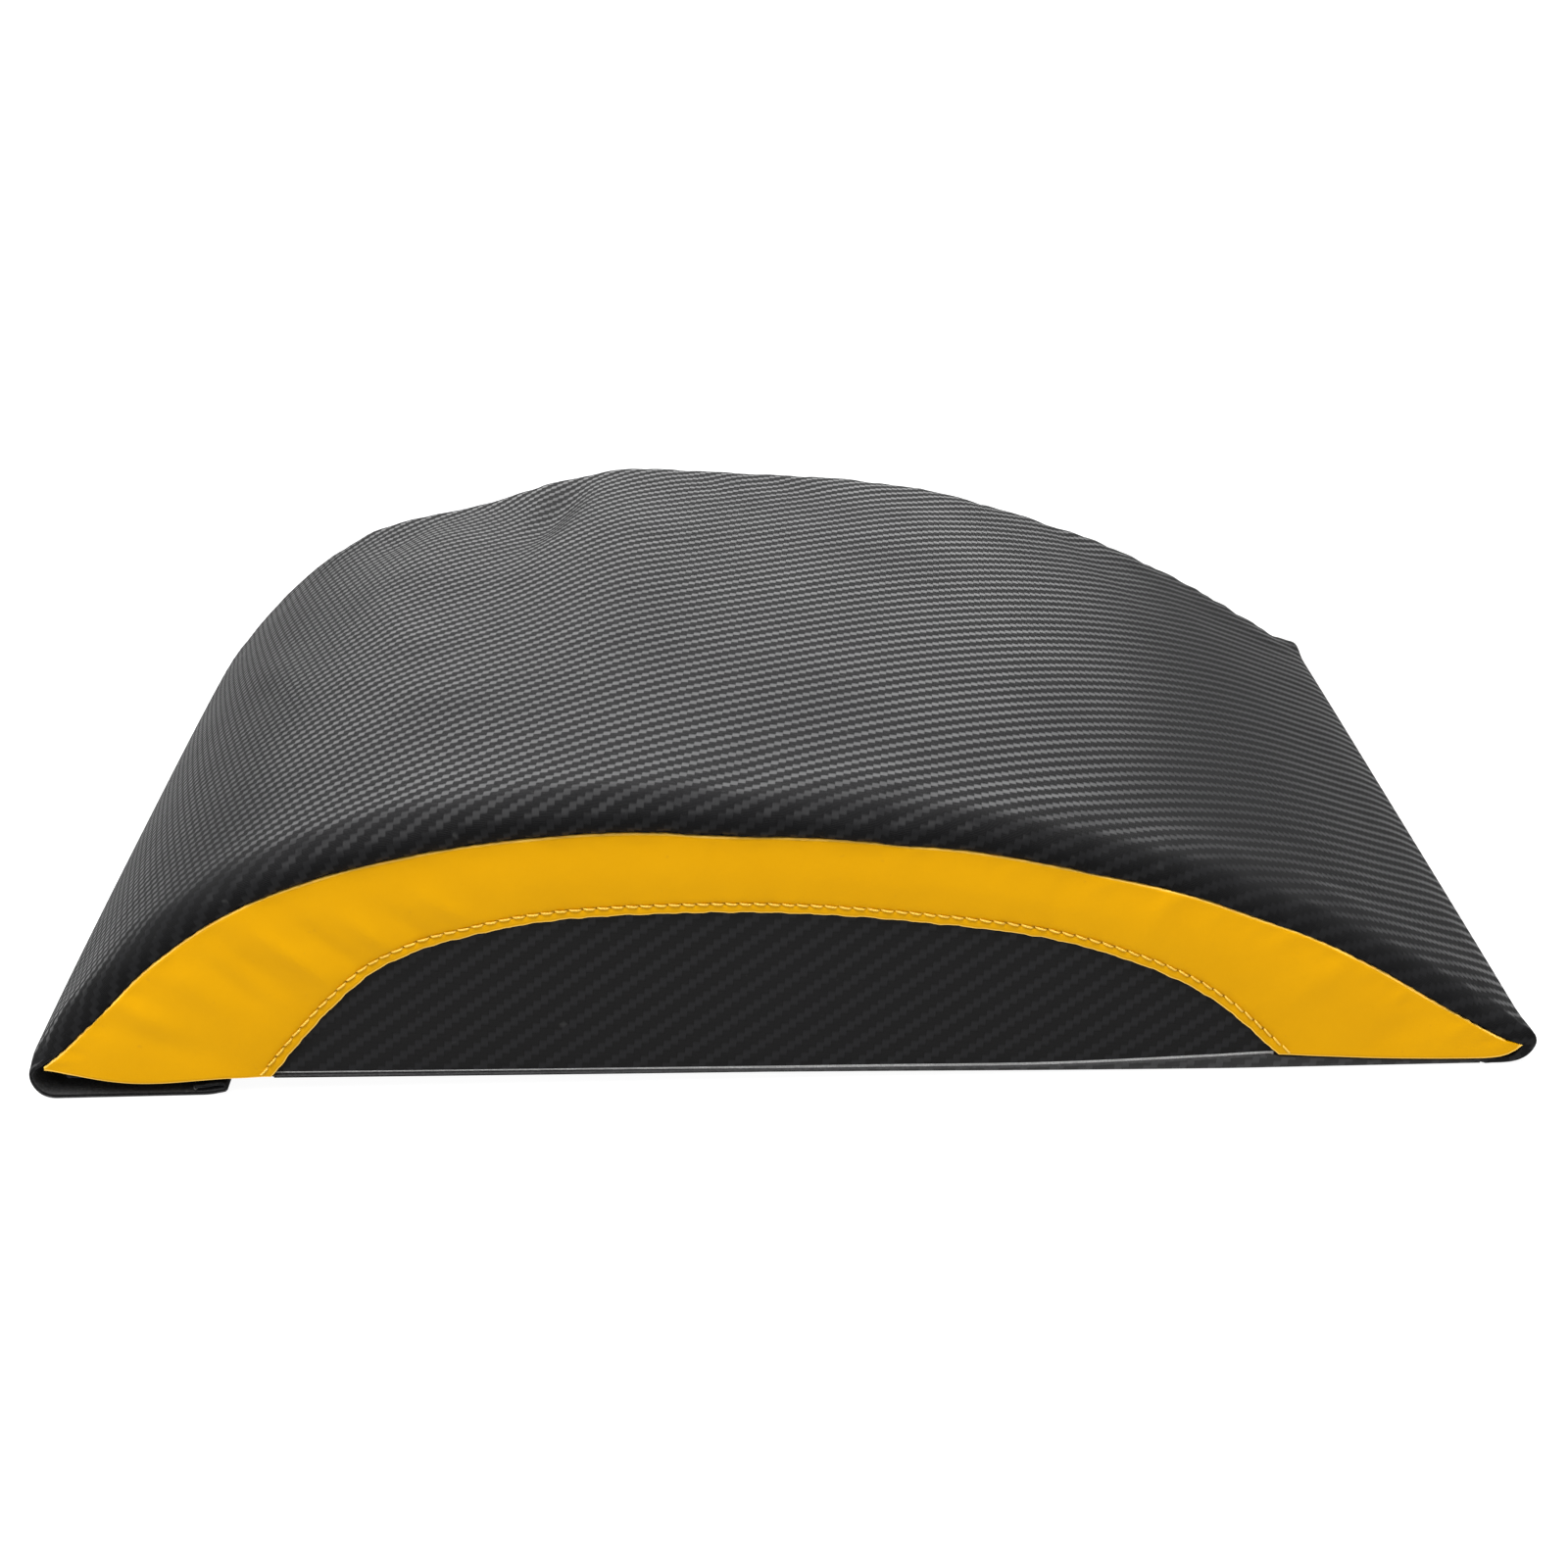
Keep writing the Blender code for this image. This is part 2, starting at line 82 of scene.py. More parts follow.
NOSE_UNDER = (  # the sheet under the nose: distance back from the nose and height
    (0.0003, 0.0036), (0.0013, 0.0020), (0.0028, 0.0010), (0.0046, 0.0004), (0.0072, 0.00008),
    (0.0100, 0.00005), (0.0128, 0.00005), (0.0150, 0.0010), (0.0165, 0.0011),
)
TAIL_TIP = 0.0008
BAND_LOW = 0.0038
BAND_WIDTH = 0.0222
ARCH_TAIL_FOOT = 0.0110
ARCH_NOSE_FOOT = 0.0650
ARCH_SHARES = (  # the band's inner edge: shares of the way between its feet and of its height
    (0.043, 0.370), (0.115, 0.725), (0.224, 0.920), (0.411, 1.000),
    (0.638, 0.920), (0.811, 0.740), (0.929, 0.440),
)
STITCH_INSET = 0.0024
STITCH_END = 0.0003
RIM_HIGHS = (  # share of the length, and height of the bottom sheet's turned-up edge above the underside
    (0.00, 0.0003), (0.37, 0.00035), (0.56, 0.0005), (0.68, 0.0007),
    (0.785, 0.0023), (0.829, 0.0031), (0.898, 0.0021), (0.968, 0.0016),
)
SAGS = ((0.00, 0.0), (0.17, 0.0001), (0.37, 0.00015), (0.56, 0.0005), (0.68, 0.0008), (1.00, 0.0008))
NOSE_RIM = 0.0018
BOTTOM_TAIL_INSET = 0.0095
BOTTOM_NOSE_INSET = 0.0134  # where the bottom sheet ends, sewn over the top sheet's end
FLAP_REACH = 0.050
HEM = 0.0085
TAPE_INSET = 0.0135
TAPE_HEM_MARGIN = 0.0030
TAPE_END_MARGIN = 0.0075
FOOT_LOW = 0.0002  # height of the band's foot above the underside
FOOT_STEP = 0.0004
FLOOR_CLEAR = 0.00005

# Places that follow from them
TAIL_X = -LENGTH / 2
NOSE_X = LENGTH / 2
PANEL_Y = SEAM_Y - COVER - GAP
FOAM_Y = PANEL_Y - COVER - GAP
FLAP_END_X = TAIL_X + FLAP_REACH
TAPE_WIDTH = FLAP_REACH - HEM - TAPE_HEM_MARGIN - TAPE_INSET
TAPE_X = TAIL_X + TAPE_INSET + TAPE_WIDTH / 2
TAPE_Y = SEAM_Y - TAPE_END_MARGIN
HOOK_BASE = COVER + GAP
STACK = HOOK_BASE + 2 * TAPE_THICK + 2 * GAP
REST_X = NOSE_X - NOSE_FOLD
SLOPE = STACK / (REST_X - TAPE_X - TAPE_WIDTH / 2)
TAIL_FOOT_X = FLAP_END_X + ARCH_TAIL_FOOT
NOSE_FOOT_X = NOSE_X - ARCH_NOSE_FOOT
BOTTOM_NOSE_X = NOSE_X - BOTTOM_NOSE_INSET

# The grids of the sheets
ROW_STEP = 0.0024
FOLD_STEP = 0.0007
FOLD_PAST = 0.004  # how far past the tail fold the rows stay close together
MIDDLE_COLUMNS = 100
ROLL_COLUMNS = 13
PATH_STEP = 0.0005

# The camera, fitted to the outlines in the photograph
CAMERA_PLACE = (-0.00996, -0.74959, 0.32359)
CAMERA_YAW = 1.035
CAMERA_PITCH = 22.056
CAMERA_ROLL = -0.828
CAMERA_LENS = 61.457
SENSOR = 36.0


def hermite(a, b, slope_a, slope_b, span, t):
    """The value a share t along a cubic from a to b, with the slopes given at its ends."""
    square, cube = t * t, t * t * t
    return (
        (2 * cube - 3 * square + 1) * a
        + (cube - 2 * square + t) * span * slope_a
        + (3 * square - 2 * cube) * b
        + (cube - square) * span * slope_b
    )


def slopes(places, values):
    """The slope of a smooth curve at each of its values."""
    spans = np.diff(places)
    if values.ndim > 1:
        spans = spans[:, None]
    runs = np.diff(values, axis=0) / spans
    inner = (spans[1:] * runs[:-1] + spans[:-1] * runs[1:]) / (spans[:-1] + spans[1:])
    return np.concatenate([runs[:1], inner, runs[-1:]])


def read(table, place):
    """The values at places on the smooth curve through a table of places and values."""
    places, values = np.array(table, float).T
    found = slopes(places, values)
    place = np.clip(place, places[0], places[-1])
    i = np.clip(np.searchsorted(places, place, "right") - 1, 0, len(places) - 2)
    span = places[i + 1] - places[i]
    return hermite(values[i], values[i + 1], found[i], found[i + 1], span, (place - places[i]) / span)


def running_lengths(points):
    """How far along a line each of its points lies."""
    return np.concatenate([[0.0], np.cumsum(np.linalg.norm(np.diff(points, axis=0), axis=1))])


def smooth(knots, step):
    """Points of a smooth curve through the knots, no further apart than the step."""
    knots = np.asarray(knots, float)
    places = running_lengths(knots)
    found = slopes(places, knots)
    points = [knots[:1]]
    for i, span in enumerate(np.diff(places)):
        count = max(1, math.ceil(span / step))
        t = (np.arange(1, count + 1) / count)[:, None]
        points.append(hermite(knots[i], knots[i + 1], found[i], found[i + 1], span, t))
    return np.concatenate(points)


def softened(points):
    """A line with each of its inner points drawn halfway to its neighbours."""
    points = points.copy()
    points[1:-1] = (points[:-2] + 2 * points[1:-1] + points[2:]) / 4
    return points


def eased(points, reach, ends):
    """A line of evenly spaced points with its small kinks smoothed away, except near its ends."""
    soft = points
    for _ in range(reach):
        soft = softened(soft)
    place = np.arange(len(points))
    share = np.clip((np.minimum(place, len(points) - 1 - place) - ends) / max(1, reach / 4), 0, 1)[:, None]
    return points + (soft - points) * share


def arc(centre, radius, first, last, steps):
    """Points of an arc in the XZ plane, from the first to the last angle in degrees."""
    angles = np.radians(np.linspace(first, last, steps + 1))
    return np.asarray(centre) + radius * np.stack([np.cos(angles), np.sin(angles)], axis=1)


def unit(vectors):
    """The vectors, brought to a length of 1."""
    return vectors / np.maximum(np.linalg.norm(vectors, axis=-1, keepdims=True), 1e-12)


def outward(points):
    """The normals on the left of a line in the XZ plane."""
    ahead = unit(np.gradient(points, axis=0))
    return np.stack([-ahead[:, 1], ahead[:, 0]], axis=1)


def in_space(plane, y):
    """Places in space, from places in the XZ plane and their Y."""
    return np.stack([plane[..., 0], y, plane[..., 1]], axis=-1)


def nearest(places, points):
    """The number of the point that is nearest to each place."""
    return np.argmin(np.linalg.norm(places[:, None] - points[None], axis=-1), axis=1)


def under(x):
    """Height of the mat's underside above the floor."""
    return SLOPE * (REST_X - x)


def spaced(points, places):
    """The points at the given distances along a line."""
    lengths = running_lengths(points)
    return np.stack([np.interp(places, lengths, points[:, k]) for k in range(points.shape[1])], axis=1)


def near(distance, reach):
    """1 where the distance is nothing, falling softly to nothing beyond the reach."""
    return np.exp(-((distance / reach) ** 2))


def wave(places, seed, *waves):
    """A sum of sines along a line: each wave is its length and its height."""
    draw = np.random.default_rng(seed)
    total = np.zeros_like(places)
    for length, height in waves:
        phase, drift = draw.uniform(0, 2 * math.pi, 2)
        bend = 0.9 * np.sin(places * 2 * math.pi / (3.7 * length) + drift)
        total += height * np.sin(places * 2 * math.pi / length + phase + bend)
    return total


def humps(u, v, table):
    """Soft oval humps and dents: place, half lengths along and across, direction in degrees, and height."""
    total = np.zeros_like(u)
    for place_u, place_v, long, wide, turn, height in table:
        angle = math.radians(turn)
        du, dv = u - place_u, v - place_v
        along = (du * math.cos(angle) + dv * math.sin(angle)) / long
        over = (dv * math.cos(angle) - du * math.sin(angle)) / wide
        total += height * np.exp(-(along * along + over * over) / 2 * 1.6)
    return total


# The long sheet
CROWN_EASING = 160  # rounds of smoothing, and points at each end that keep their place
CROWN_KEPT = 24
ARCH_EASING = 140
HEM_RISE = 0.0028  # height of the hem's upper face
HEM_CURL = 0.0006  # how far the free edge lifts off the floor
HEM_LEAN = 0.0004  # how its tucked end bends back, and how much lies flat above it
HEM_ROUND = 0.0008
HEM_FLAT = 0.0012
NOSE_SHARP = (0.016, 0.004)  # how far from the nose the roll starts to tighten, and ends
NOSE_EDGE = 0.0014  # width of the tightened roll


def crown_line():
    tail = arc((TAIL_X + TAIL_FOLD, TAIL_FOLD), TAIL_FOLD, 180.0, 180.0 - TAIL_TURN, 2)
    nose = arc((NOSE_X - NOSE_FOLD, NOSE_FOLD), NOSE_FOLD, NOSE_TURN, 0.0, 3)
    body = [(TAIL_X + x * LENGTH, z * HEIGHT) for x, z in CROWN_SHARES]
    return eased(smooth(np.concatenate([tail, body, nose]), PATH_STEP), CROWN_EASING, CROWN_KEPT)


def flap_line():
    """The sheet's outer face from the hem's tucked end back to the hinge line."""
    hem_x = FLAP_END_X - HEM
    curl = HEM_RISE / 2
    fold = arc((TAIL_X + TAIL_FOLD, TAIL_FOLD), TAIL_FOLD, 270.0, 180.0, 24)[:-1]
    end = arc((FLAP_END_X - curl, curl + HEM_CURL), curl, 90.0, -90.0, 12)
    tuck = [(hem_x, HOOK_BASE), (hem_x - HEM_LEAN, HEM_RISE - HEM_ROUND)]
    top = [(hem_x, HEM_RISE), (hem_x + HEM_FLAT, HEM_RISE)]
    floor = [(FLAP_END_X - HEM * 0.5, HEM_CURL * 0.2), (hem_x, 0.0), (FLAP_END_X - HEM * 1.6, 0.0)]
    return np.concatenate([smooth(np.concatenate([tuck, top, end, floor]), PATH_STEP), fold])


def sheet_line():
    """Distances from the hinge line, places and normals along the middle of the long sheet."""
    before = flap_line()
    back = smooth([(0.0, NOSE_FOLD), *NOSE_UNDER], PATH_STEP)[1:]
    after = np.stack([NOSE_X - back[:, 0], back[:, 1]], axis=1)
    crown = crown_line()
    line = np.concatenate([before, crown, after])
    lengths = running_lengths(line)
    return lengths - lengths[len(before)], line, outward(line), running_lengths(crown)[-1]


SHEET_S, SHEET_LINE, SHEET_NORMAL, CROWN_LENGTH = sheet_line()


def at(s):
    """Places and unit normals of the sheet's middle line at distances from the hinge."""
    point = np.stack([np.interp(s, SHEET_S, SHEET_LINE[:, k]) for k in (0, 1)], axis=1)
    normal = np.stack([np.interp(s, SHEET_S, SHEET_NORMAL[:, k]) for k in (0, 1)], axis=1)
    return point, unit(normal)


def roll(s):
    """The roll's angle at the seam, its width and height, the crown's sag and the seam's whole drop."""
    share = read(ROLL_SHARES, s / CROWN_LENGTH) * np.clip(1 + s / TAIL_FOLD, 0, 1)
    turn = np.clip((s - CROWN_LENGTH) / (NOSE_FOLD * math.pi / 2), 0, 1)
    share = share + (NOSE_RIM / ROLL_DROP - share) * turn
    sharp = np.clip((s - CROWN_LENGTH + NOSE_SHARP[0]) / (NOSE_SHARP[0] - NOSE_SHARP[1]), 0, 1)
    sharp = sharp * sharp * (3 - 2 * sharp)
    sag = CROWN_SAG * share * (1 - sharp)
    start = np.radians(ROLL_OPEN + (ROLL_TUCK - ROLL_OPEN) * share) * (1 - sharp)
    width = ROLL_WIDTH + (NOSE_EDGE - ROLL_WIDTH) * sharp
    drop = ROLL_DROP * share
    high = (drop - sag) / (1 - np.sin(start))
    return start, width, high, sag, drop


def sheet_rows():
    """Distances along the sheet, closer together where it folds."""
    first, last = SHEET_S[0], SHEET_S[-1]
    s = [first]
    while s[-1] < last:
        tail = -(TAIL_FOLD * math.pi / 2 + FOLD_PAST) < s[-1] < TAIL_FOLD * 1.2
        nose = CROWN_LENGTH - NOSE_FOLD < s[-1] < CROWN_LENGTH + NOSE_FOLD * math.pi
        hem = s[-1] < first + 2.4 * HEM
        s.append(s[-1] + (FOLD_STEP if tail or nose or hem else ROW_STEP))
    s = np.array(s)
    return first + (s - first) * (last - first) / (s[-1] - first)


# Dents and folds of the top, placed by their distance from the hinge and their Y
DENTS = (
    (0.112, 0.142, 0.030, 0.0200, 90.0, -0.0044),
    (0.132, 0.112, 0.034, 0.0150, 86.0, -0.0030),
    (0.146, 0.106, 0.030, 0.0072, 80.0, -0.0036),
    (0.131, 0.050, 0.060, 0.0190, 92.0, -0.0022),
    (0.146, -0.020, 0.060, 0.0160, 100.0, -0.0010),
    (0.172, 0.060, 0.075, 0.0120, 90.0, 0.0012),
    (0.090, 0.118, 0.018, 0.0090, 80.0, -0.0016),
    (0.078, 0.070, 0.060, 0.0110, 84.0, -0.0009),
    (0.104, 0.010, 0.050, 0.0060, 106.0, 0.0005),
    (0.120, -0.060, 0.045, 0.0070, 128.0, 0.0004),
    (0.060, 0.020, 0.042, 0.0060, 112.0, 0.0005),
    (0.197, 0.130, 0.026, 0.0070, 110.0, -0.0006),
    (0.222, 0.132, 0.040, 0.0100, 116.0, -0.0005),
    (0.268, 0.120, 0.060, 0.0300, 90.0, 0.0013),
    (0.262, 0.140, 0.038, 0.0080, 118.0, -0.0004),
    (0.300, 0.138, 0.040, 0.0100, 115.0, -0.0004),
    (0.326, 0.128, 0.040, 0.0080, 114.0, -0.0009),
    (0.362, 0.140, 0.036, 0.0090, 112.0, -0.0004),
    (0.205, -0.140, 0.028, 0.0130, 70.0, -0.0007),
    (0.250, -0.142, 0.024, 0.0090, 66.0, -0.0005),
    (0.300, -0.140, 0.028, 0.0120, 68.0, -0.0006),
    (0.345, -0.143, 0.024, 0.0090, 60.0, -0.0005),
)
DENT_START = 0.02
TAIL_BOW = 0.0007
TAIL_BOW_PLACE = 0.022
NOSE_BOW = 0.0003
NOSE_BOW_PLACE = 0.026  # back from the nose
BOW_REACH = 0.045
LIP = 0.0010
LIP_REACH = (0.0045, 0.0090)


def relief(s, y):
    """How far the top stands out from its smooth shape."""
    dents = humps(s, y, DENTS) * np.clip(s / DENT_START, 0, 1)
    shape = 1 - (y / SEAM_Y) ** 4
    tail = near(s - TAIL_BOW_PLACE, BOW_REACH)
    nose = near(s - CROWN_LENGTH + NOSE_BOW_PLACE, BOW_REACH)
    lip = ((s - CROWN_LENGTH + LIP_REACH[0] / 2) / LIP_REACH[0]) ** 2
    lip = lip + ((np.abs(y) - SEAM_Y) / LIP_REACH[1]) ** 2
    above = np.clip(1 + s / TAIL_FOLD, 0, 1) * np.clip(1 - (s - CROWN_LENGTH) / NOSE_FOLD, 0, 1)
    return dents + (shape * (TAIL_BOW * tail + NOSE_BOW * nose) + LIP * np.exp(-lip)) * above


SEAM_CURL = 44.0  # further degrees that the top sheet turns in at its seams
FREE_CURL = 75.0
FREE_SHARE = 0.40
SEAM_CURL_RADIUS = 0.0013
SEAM_CURL_DROP = 0.45
SEAM_LOW = 0.00048  # the dark gap between the sheet and the pieces below it
LEAST_HIGH = 0.00001
CURL_COLUMNS = 4
PUCKER = 0.00030
PUCKER_HEIGHTS = (PUCKER, PUCKER * 0.8, PUCKER * 0.4)
PUCKER_WAVES = ((3, (0.0125, 0.0074, 0.0046)), (8, (0.0130, 0.0078, 0.0048)))  # each side's seed and lengths
PUCKER_REACH = 0.0042
PUCKER_START = 0.012
PUCKER_STITCH = 0.00008
SEAM_SHARE = 0.06
SEAM_PITCH = 0.0036
SCALLOP = 0.00016
SCALLOP_END = 0.00020  # more of it towards the seam's two ends
SCALLOP_DRIFT = 60.0


def side_profile(s):
    """One half of the sheet across, from the edge to the middle: Y, depth and where the roll starts."""
    start, width, high, sag, _ = roll(s)
    centre = SEAM_Y - width * np.cos(start)
    angles = start[:, None] + (math.pi / 2 - start)[:, None] * np.linspace(0, 1, ROLL_COLUMNS + 1)[None]
    y = centre[:, None] + width[:, None] * np.cos(angles)
    depth = sag[:, None] + high[:, None] * (1 - np.sin(angles))
    # The last of it turns in to the seam, or rounds a free edge off
    share = np.clip((ROLL_OPEN - np.degrees(start)) / (ROLL_OPEN - ROLL_TUCK), 0, 1)
    turn = np.radians(SEAM_CURL + (FREE_CURL - SEAM_CURL) * (1 - share))[:, None]
    share = np.maximum(share, FREE_SHARE)
    steps = np.linspace(1, 0, CURL_COLUMNS + 1)[None, :-1]
    facing = np.arctan2(np.sin(start) / np.maximum(high, LEAST_HIGH), np.cos(start) / width)[:, None]
    radius = SEAM_CURL_RADIUS * share[:, None]
    end = facing - turn * steps
    curl_y = y[:, :1] + radius * (np.cos(end) - np.cos(facing)) - radius * 0.5 * steps
    curl_depth = depth[:, :1] + radius * (np.sin(facing) - np.sin(end)) * SEAM_CURL_DROP
    return np.concatenate([curl_y, y], axis=1), np.concatenate([curl_depth, depth], axis=1), centre


def sheet_grid():
    """The long sheet's outer face and its flat coordinates, one row for each distance along it."""
    s = sheet_rows()
    point, normal = at(s)
    side_y, side_depth, centre = side_profile(s)
    share = np.linspace(1, -1, MIDDLE_COLUMNS + 1)[None, 1:-1]
    middle_depth = roll(s)[3][:, None] * share**2
    y = -np.concatenate([side_y, centre[:, None] * share, -side_y[:, ::-1]], axis=1)
    depth = np.concatenate([side_depth, middle_depth, side_depth[:, ::-1]], axis=1)
    steps = np.cumsum(np.hypot(np.diff(y, axis=1), np.diff(depth, axis=1)), axis=1)
    across = np.concatenate([np.zeros((len(s), 1)), steps], axis=1)
    across -= across[:, [across.shape[1] // 2]]
    ss = np.broadcast_to(s[:, None], y.shape)
    # Puckers in the roll, a little way in from the seams
    reach = (np.abs(across[:, :1]) - np.abs(across)) / PUCKER_REACH
    fade = reach * np.exp(1 - reach) + SEAM_SHARE * np.exp(-reach * 4)
    front, rear = (wave(s, seed, *zip(lengths, PUCKER_HEIGHTS)) for seed, lengths in PUCKER_WAVES)
    pucker = np.where(y < 0, front[:, None], rear[:, None]) * fade
    stitch = PUCKER_STITCH * np.sin(s * 2 * math.pi / SEAM_PITCH)[:, None] * np.exp(-reach * 5)
    on_crown = np.clip(s / PUCKER_START, 0, 1) * np.clip((CROWN_LENGTH - s) / PUCKER_START, 0, 1)
    growth = (0.45 + 0.55 * np.clip(s / CROWN_LENGTH, 0, 1) ** 2)[:, None]
    depth = depth - (relief(ss, y) + (pucker * growth + stitch) * on_crown[:, None])
    flat = point[:, None, :] - normal[:, None, :] * depth[..., None]
    return in_space(flat, y), np.stack([ss, across], axis=-1), s


# Meshes
SHARP_ANGLE = 50.0


def grid_normals(grid):
    """Unit normals of a grid of points, to the left of its rows."""
    return unit(np.cross(np.gradient(grid, axis=0), np.gradient(grid, axis=1)))


def grid_faces(rows, columns, first=0):
    """The quads between the points of a grid."""
    i, k = np.meshgrid(np.arange(rows - 1), np.arange(columns - 1), indexing="ij")
    a = first + (i * columns + k).ravel()
    return np.stack([a, a + columns, a + columns + 1, a + 1], axis=1)


def border(rows, columns):
    """The grid's border points in order round it."""
    ids = np.arange(rows * columns).reshape(rows, columns)
    return np.concatenate([ids[0, :-1], ids[:-1, -1], ids[-1, :0:-1], ids[:0:-1, 0]])


def closed_solid(outer, inner):
    """The points and quads of a solid between two grids, and a 0 or 1 for each quad: outer face or not."""
    rows, columns = outer.shape[:2]
    count = rows * columns
    ring = border(rows, columns)
    after = np.roll(ring, -1)
    outside, inside = grid_faces(rows, columns), grid_faces(rows, columns, count)[:, ::-1]
    faces = np.concatenate([outside, inside, np.stack([ring, after, after + count, ring + count], axis=1)])
    points = np.concatenate([outer.reshape(-1, 3), inner.reshape(-1, 3)])
    a, b, c, d = (points[faces[:, k]] for k in range(4))
    if (np.cross(a, b) * c).sum() + (np.cross(a, c) * d).sum() < 0:
        faces = faces[:, [0, 3, 2, 1]]
    return points, faces.tolist(), np.arange(len(faces)) >= len(outside)


def add_object(name, data):
    made = bpy.data.objects.new(name, data)
    bpy.context.scene.collection.objects.link(made)
    return made


def mesh_object(name, points, faces):
    mesh = bpy.data.meshes.new(name)
    mesh.from_pydata(np.asarray(points).reshape(-1, 3).tolist(), [], faces)
    return add_object(name, mesh)


def make_mesh(name, points, faces, kinds, flat, sharp=True):
    """A mesh object, with the number of each face's material and the flat coordinates of its points."""
    made = mesh_object(name, points, faces)
    mesh = made.data
    mesh.polygons.foreach_set("material_index", np.asarray(kinds, np.int32))
    layer = mesh.uv_layers.new(name="Sheet")
    loops = np.zeros(len(mesh.loops), np.int32)
    mesh.loops.foreach_get("vertex_index", loops)
    layer.data.foreach_set("uv", flat[loops].astype(np.float32).ravel())
    mesh.shade_smooth()
    if sharp:
        mesh.set_sharp_from_angle(angle=math.radians(SHARP_ANGLE))
    return made


def sheet_object(name, outer, flat, inward):
    """A thin solid: an outer grid of points, and an inner one that lies a step inward of it."""
    points, faces, kinds = closed_solid(outer, outer + inward)
    return make_mesh(name, points, faces, kinds, np.tile(flat.reshape(-1, 2), (2, 1)))


# The trial cloth
CLOTH_ENDS = 0.006  # it starts and ends this far in from the folds
CLOTH_SPARE = 0.016  # share by which it is cut too long at its seams
CLOTH_SPARE_REACH = 0.026
CLOTH_FRAMES = 16
CLOTH_KEEP = 0.55  # share of the puckers that the glued-down sheet keeps
CLOTH_CAP = 0.0006
CLOTH_BROAD = 36  # rounds of blurring that tell the broad shape from the puckers
CLOTH_FINE = 4
CLOTH_SETTINGS = {
    "vertex_group_shrink": "Taut",
    "shrink_min": -CLOTH_SPARE,
    "shrink_max": 0.0,
    "vertex_group_mass": "Pins",
    "quality": 8,
    "mass": 0.1,
    "air_damping": 3.0,
    "tension_stiffness": 25.0,
    "compression_stiffness": 25.0,
    "shear_stiffness": 10.0,
    "bending_stiffness": 0.02,
}


def blurred(values, rounds):
    for _ in range(rounds):
        padded = np.pad(values, 1, mode="edge")
        beside = padded[:-2, 1:-1] + padded[2:, 1:-1] + padded[1:-1, :-2] + padded[1:-1, 2:]
        values = (beside + 4 * values) / 8
    return values


def trial_cloth(part, spare):
    """The points of a sheet held all round, once it has settled with the given shares of spare length."""
    rows, columns = part.shape[:2]
    trial = mesh_object("trial_cloth", part, grid_faces(rows, columns).tolist())
    scene = bpy.context.scene
    pins = trial.vertex_groups.new(name="Pins")
    pins.add(border(rows, columns).tolist(), 1.0, "REPLACE")
    taut = trial.vertex_groups.new(name="Taut")
    for number, share in enumerate(spare.ravel()):
        taut.add([number], 1.0 - float(share), "REPLACE")
    cloth = trial.modifiers.new("Cloth", "CLOTH")
    cloth.point_cache.frame_end = CLOTH_FRAMES
    for setting, value in CLOTH_SETTINGS.items():
        setattr(cloth.settings, setting, value)
    cloth.settings.effector_weights.gravity = 0.0
    for frame_number in range(1, CLOTH_FRAMES + 1):
        scene.frame_set(frame_number)
    settled = trial.evaluated_get(bpy.context.evaluated_depsgraph_get()).to_mesh()
    points = np.zeros(rows * columns * 3)
    settled.vertices.foreach_get("co", points)
    bpy.data.objects.remove(trial)
    scene.frame_set(1)
    return points.reshape(rows, columns, 3)


def puckers(grid, flat, s):
    """How far the sheet puckers, from a trial cloth that is cut with length to spare at its seams."""
    offset = np.zeros(grid.shape[:2])
    inside = np.flatnonzero((s > CLOTH_ENDS) & (s < CROWN_LENGTH - CLOTH_ENDS))
    part = grid[inside]
    across = np.abs(flat[inside, :, 1])
    settled = trial_cloth(part, near(across[:, :1] - across, CLOTH_SPARE_REACH))
    out = ((settled - part) * grid_normals(part)).sum(axis=-1)
    out = blurred(out, CLOTH_FINE) - blurred(out, CLOTH_BROAD)
    offset[inside] = CLOTH_CAP * np.tanh(CLOTH_KEEP * out / CLOTH_CAP)
    return offset


PALE_HEM = 0.011  # how much of the hem's cut edge shows pale, with a painted highlight


def top_sheet():
    """The long sheet from the hem to the nose, and its flat coordinates."""
    grid, flat, s = sheet_grid()
    grid = grid + grid_normals(grid) * puckers(grid, flat, s)[..., None]
    grid[..., 2] = np.maximum(grid[..., 2], 0.0)
    made = sheet_object("top_sheet", grid, flat, -grid_normals(grid) * COVER * 0.9)
    rows, columns = grid.shape[:2]
    first = 2 * (rows - 1) * (columns - 1)
    # The hem's cut edge: pale fibres with a painted highlight
    for place, point in enumerate(border(rows, columns)):
        if s[point // columns] < SHEET_S[0] + PALE_HEM:
            made.data.polygons[first + place].material_index = 2
    return made, flat


# Side pieces


def seam_line(side):
    """The top edge of one side's pieces in the XZ plane."""
    s = np.arange(0, CROWN_LENGTH, PATH_STEP)
    point, normal = at(s)
    start, width, high, _, drop = roll(s)
    up = np.sin(np.arctan2(np.sin(start) / high, np.cos(start) / width))
    drop = drop - relief(s, np.full_like(s, side * SEAM_Y))
    size = SCALLOP + SCALLOP_END * np.clip(np.abs(2 * s / CROWN_LENGTH - 1) * 2.5 - 1.4, 0, 1)
    drop = drop + size * (np.abs(np.sin(s * math.pi / SEAM_PITCH + np.sin(s * SCALLOP_DRIFT))) - 0.6)
    line = point - normal * (drop + COVER * np.maximum(up, 0) + SEAM_LOW)[:, None]
    return line[(line[:, 0] >= TAIL_X + TAIL_TIP_INSET) & (line[:, 0] <= REST_X)]


def rim(x):
    """Height of the bottom sheet's turned-up edge above the underside."""
    return read(RIM_HIGHS, (x - TAIL_X) / LENGTH)


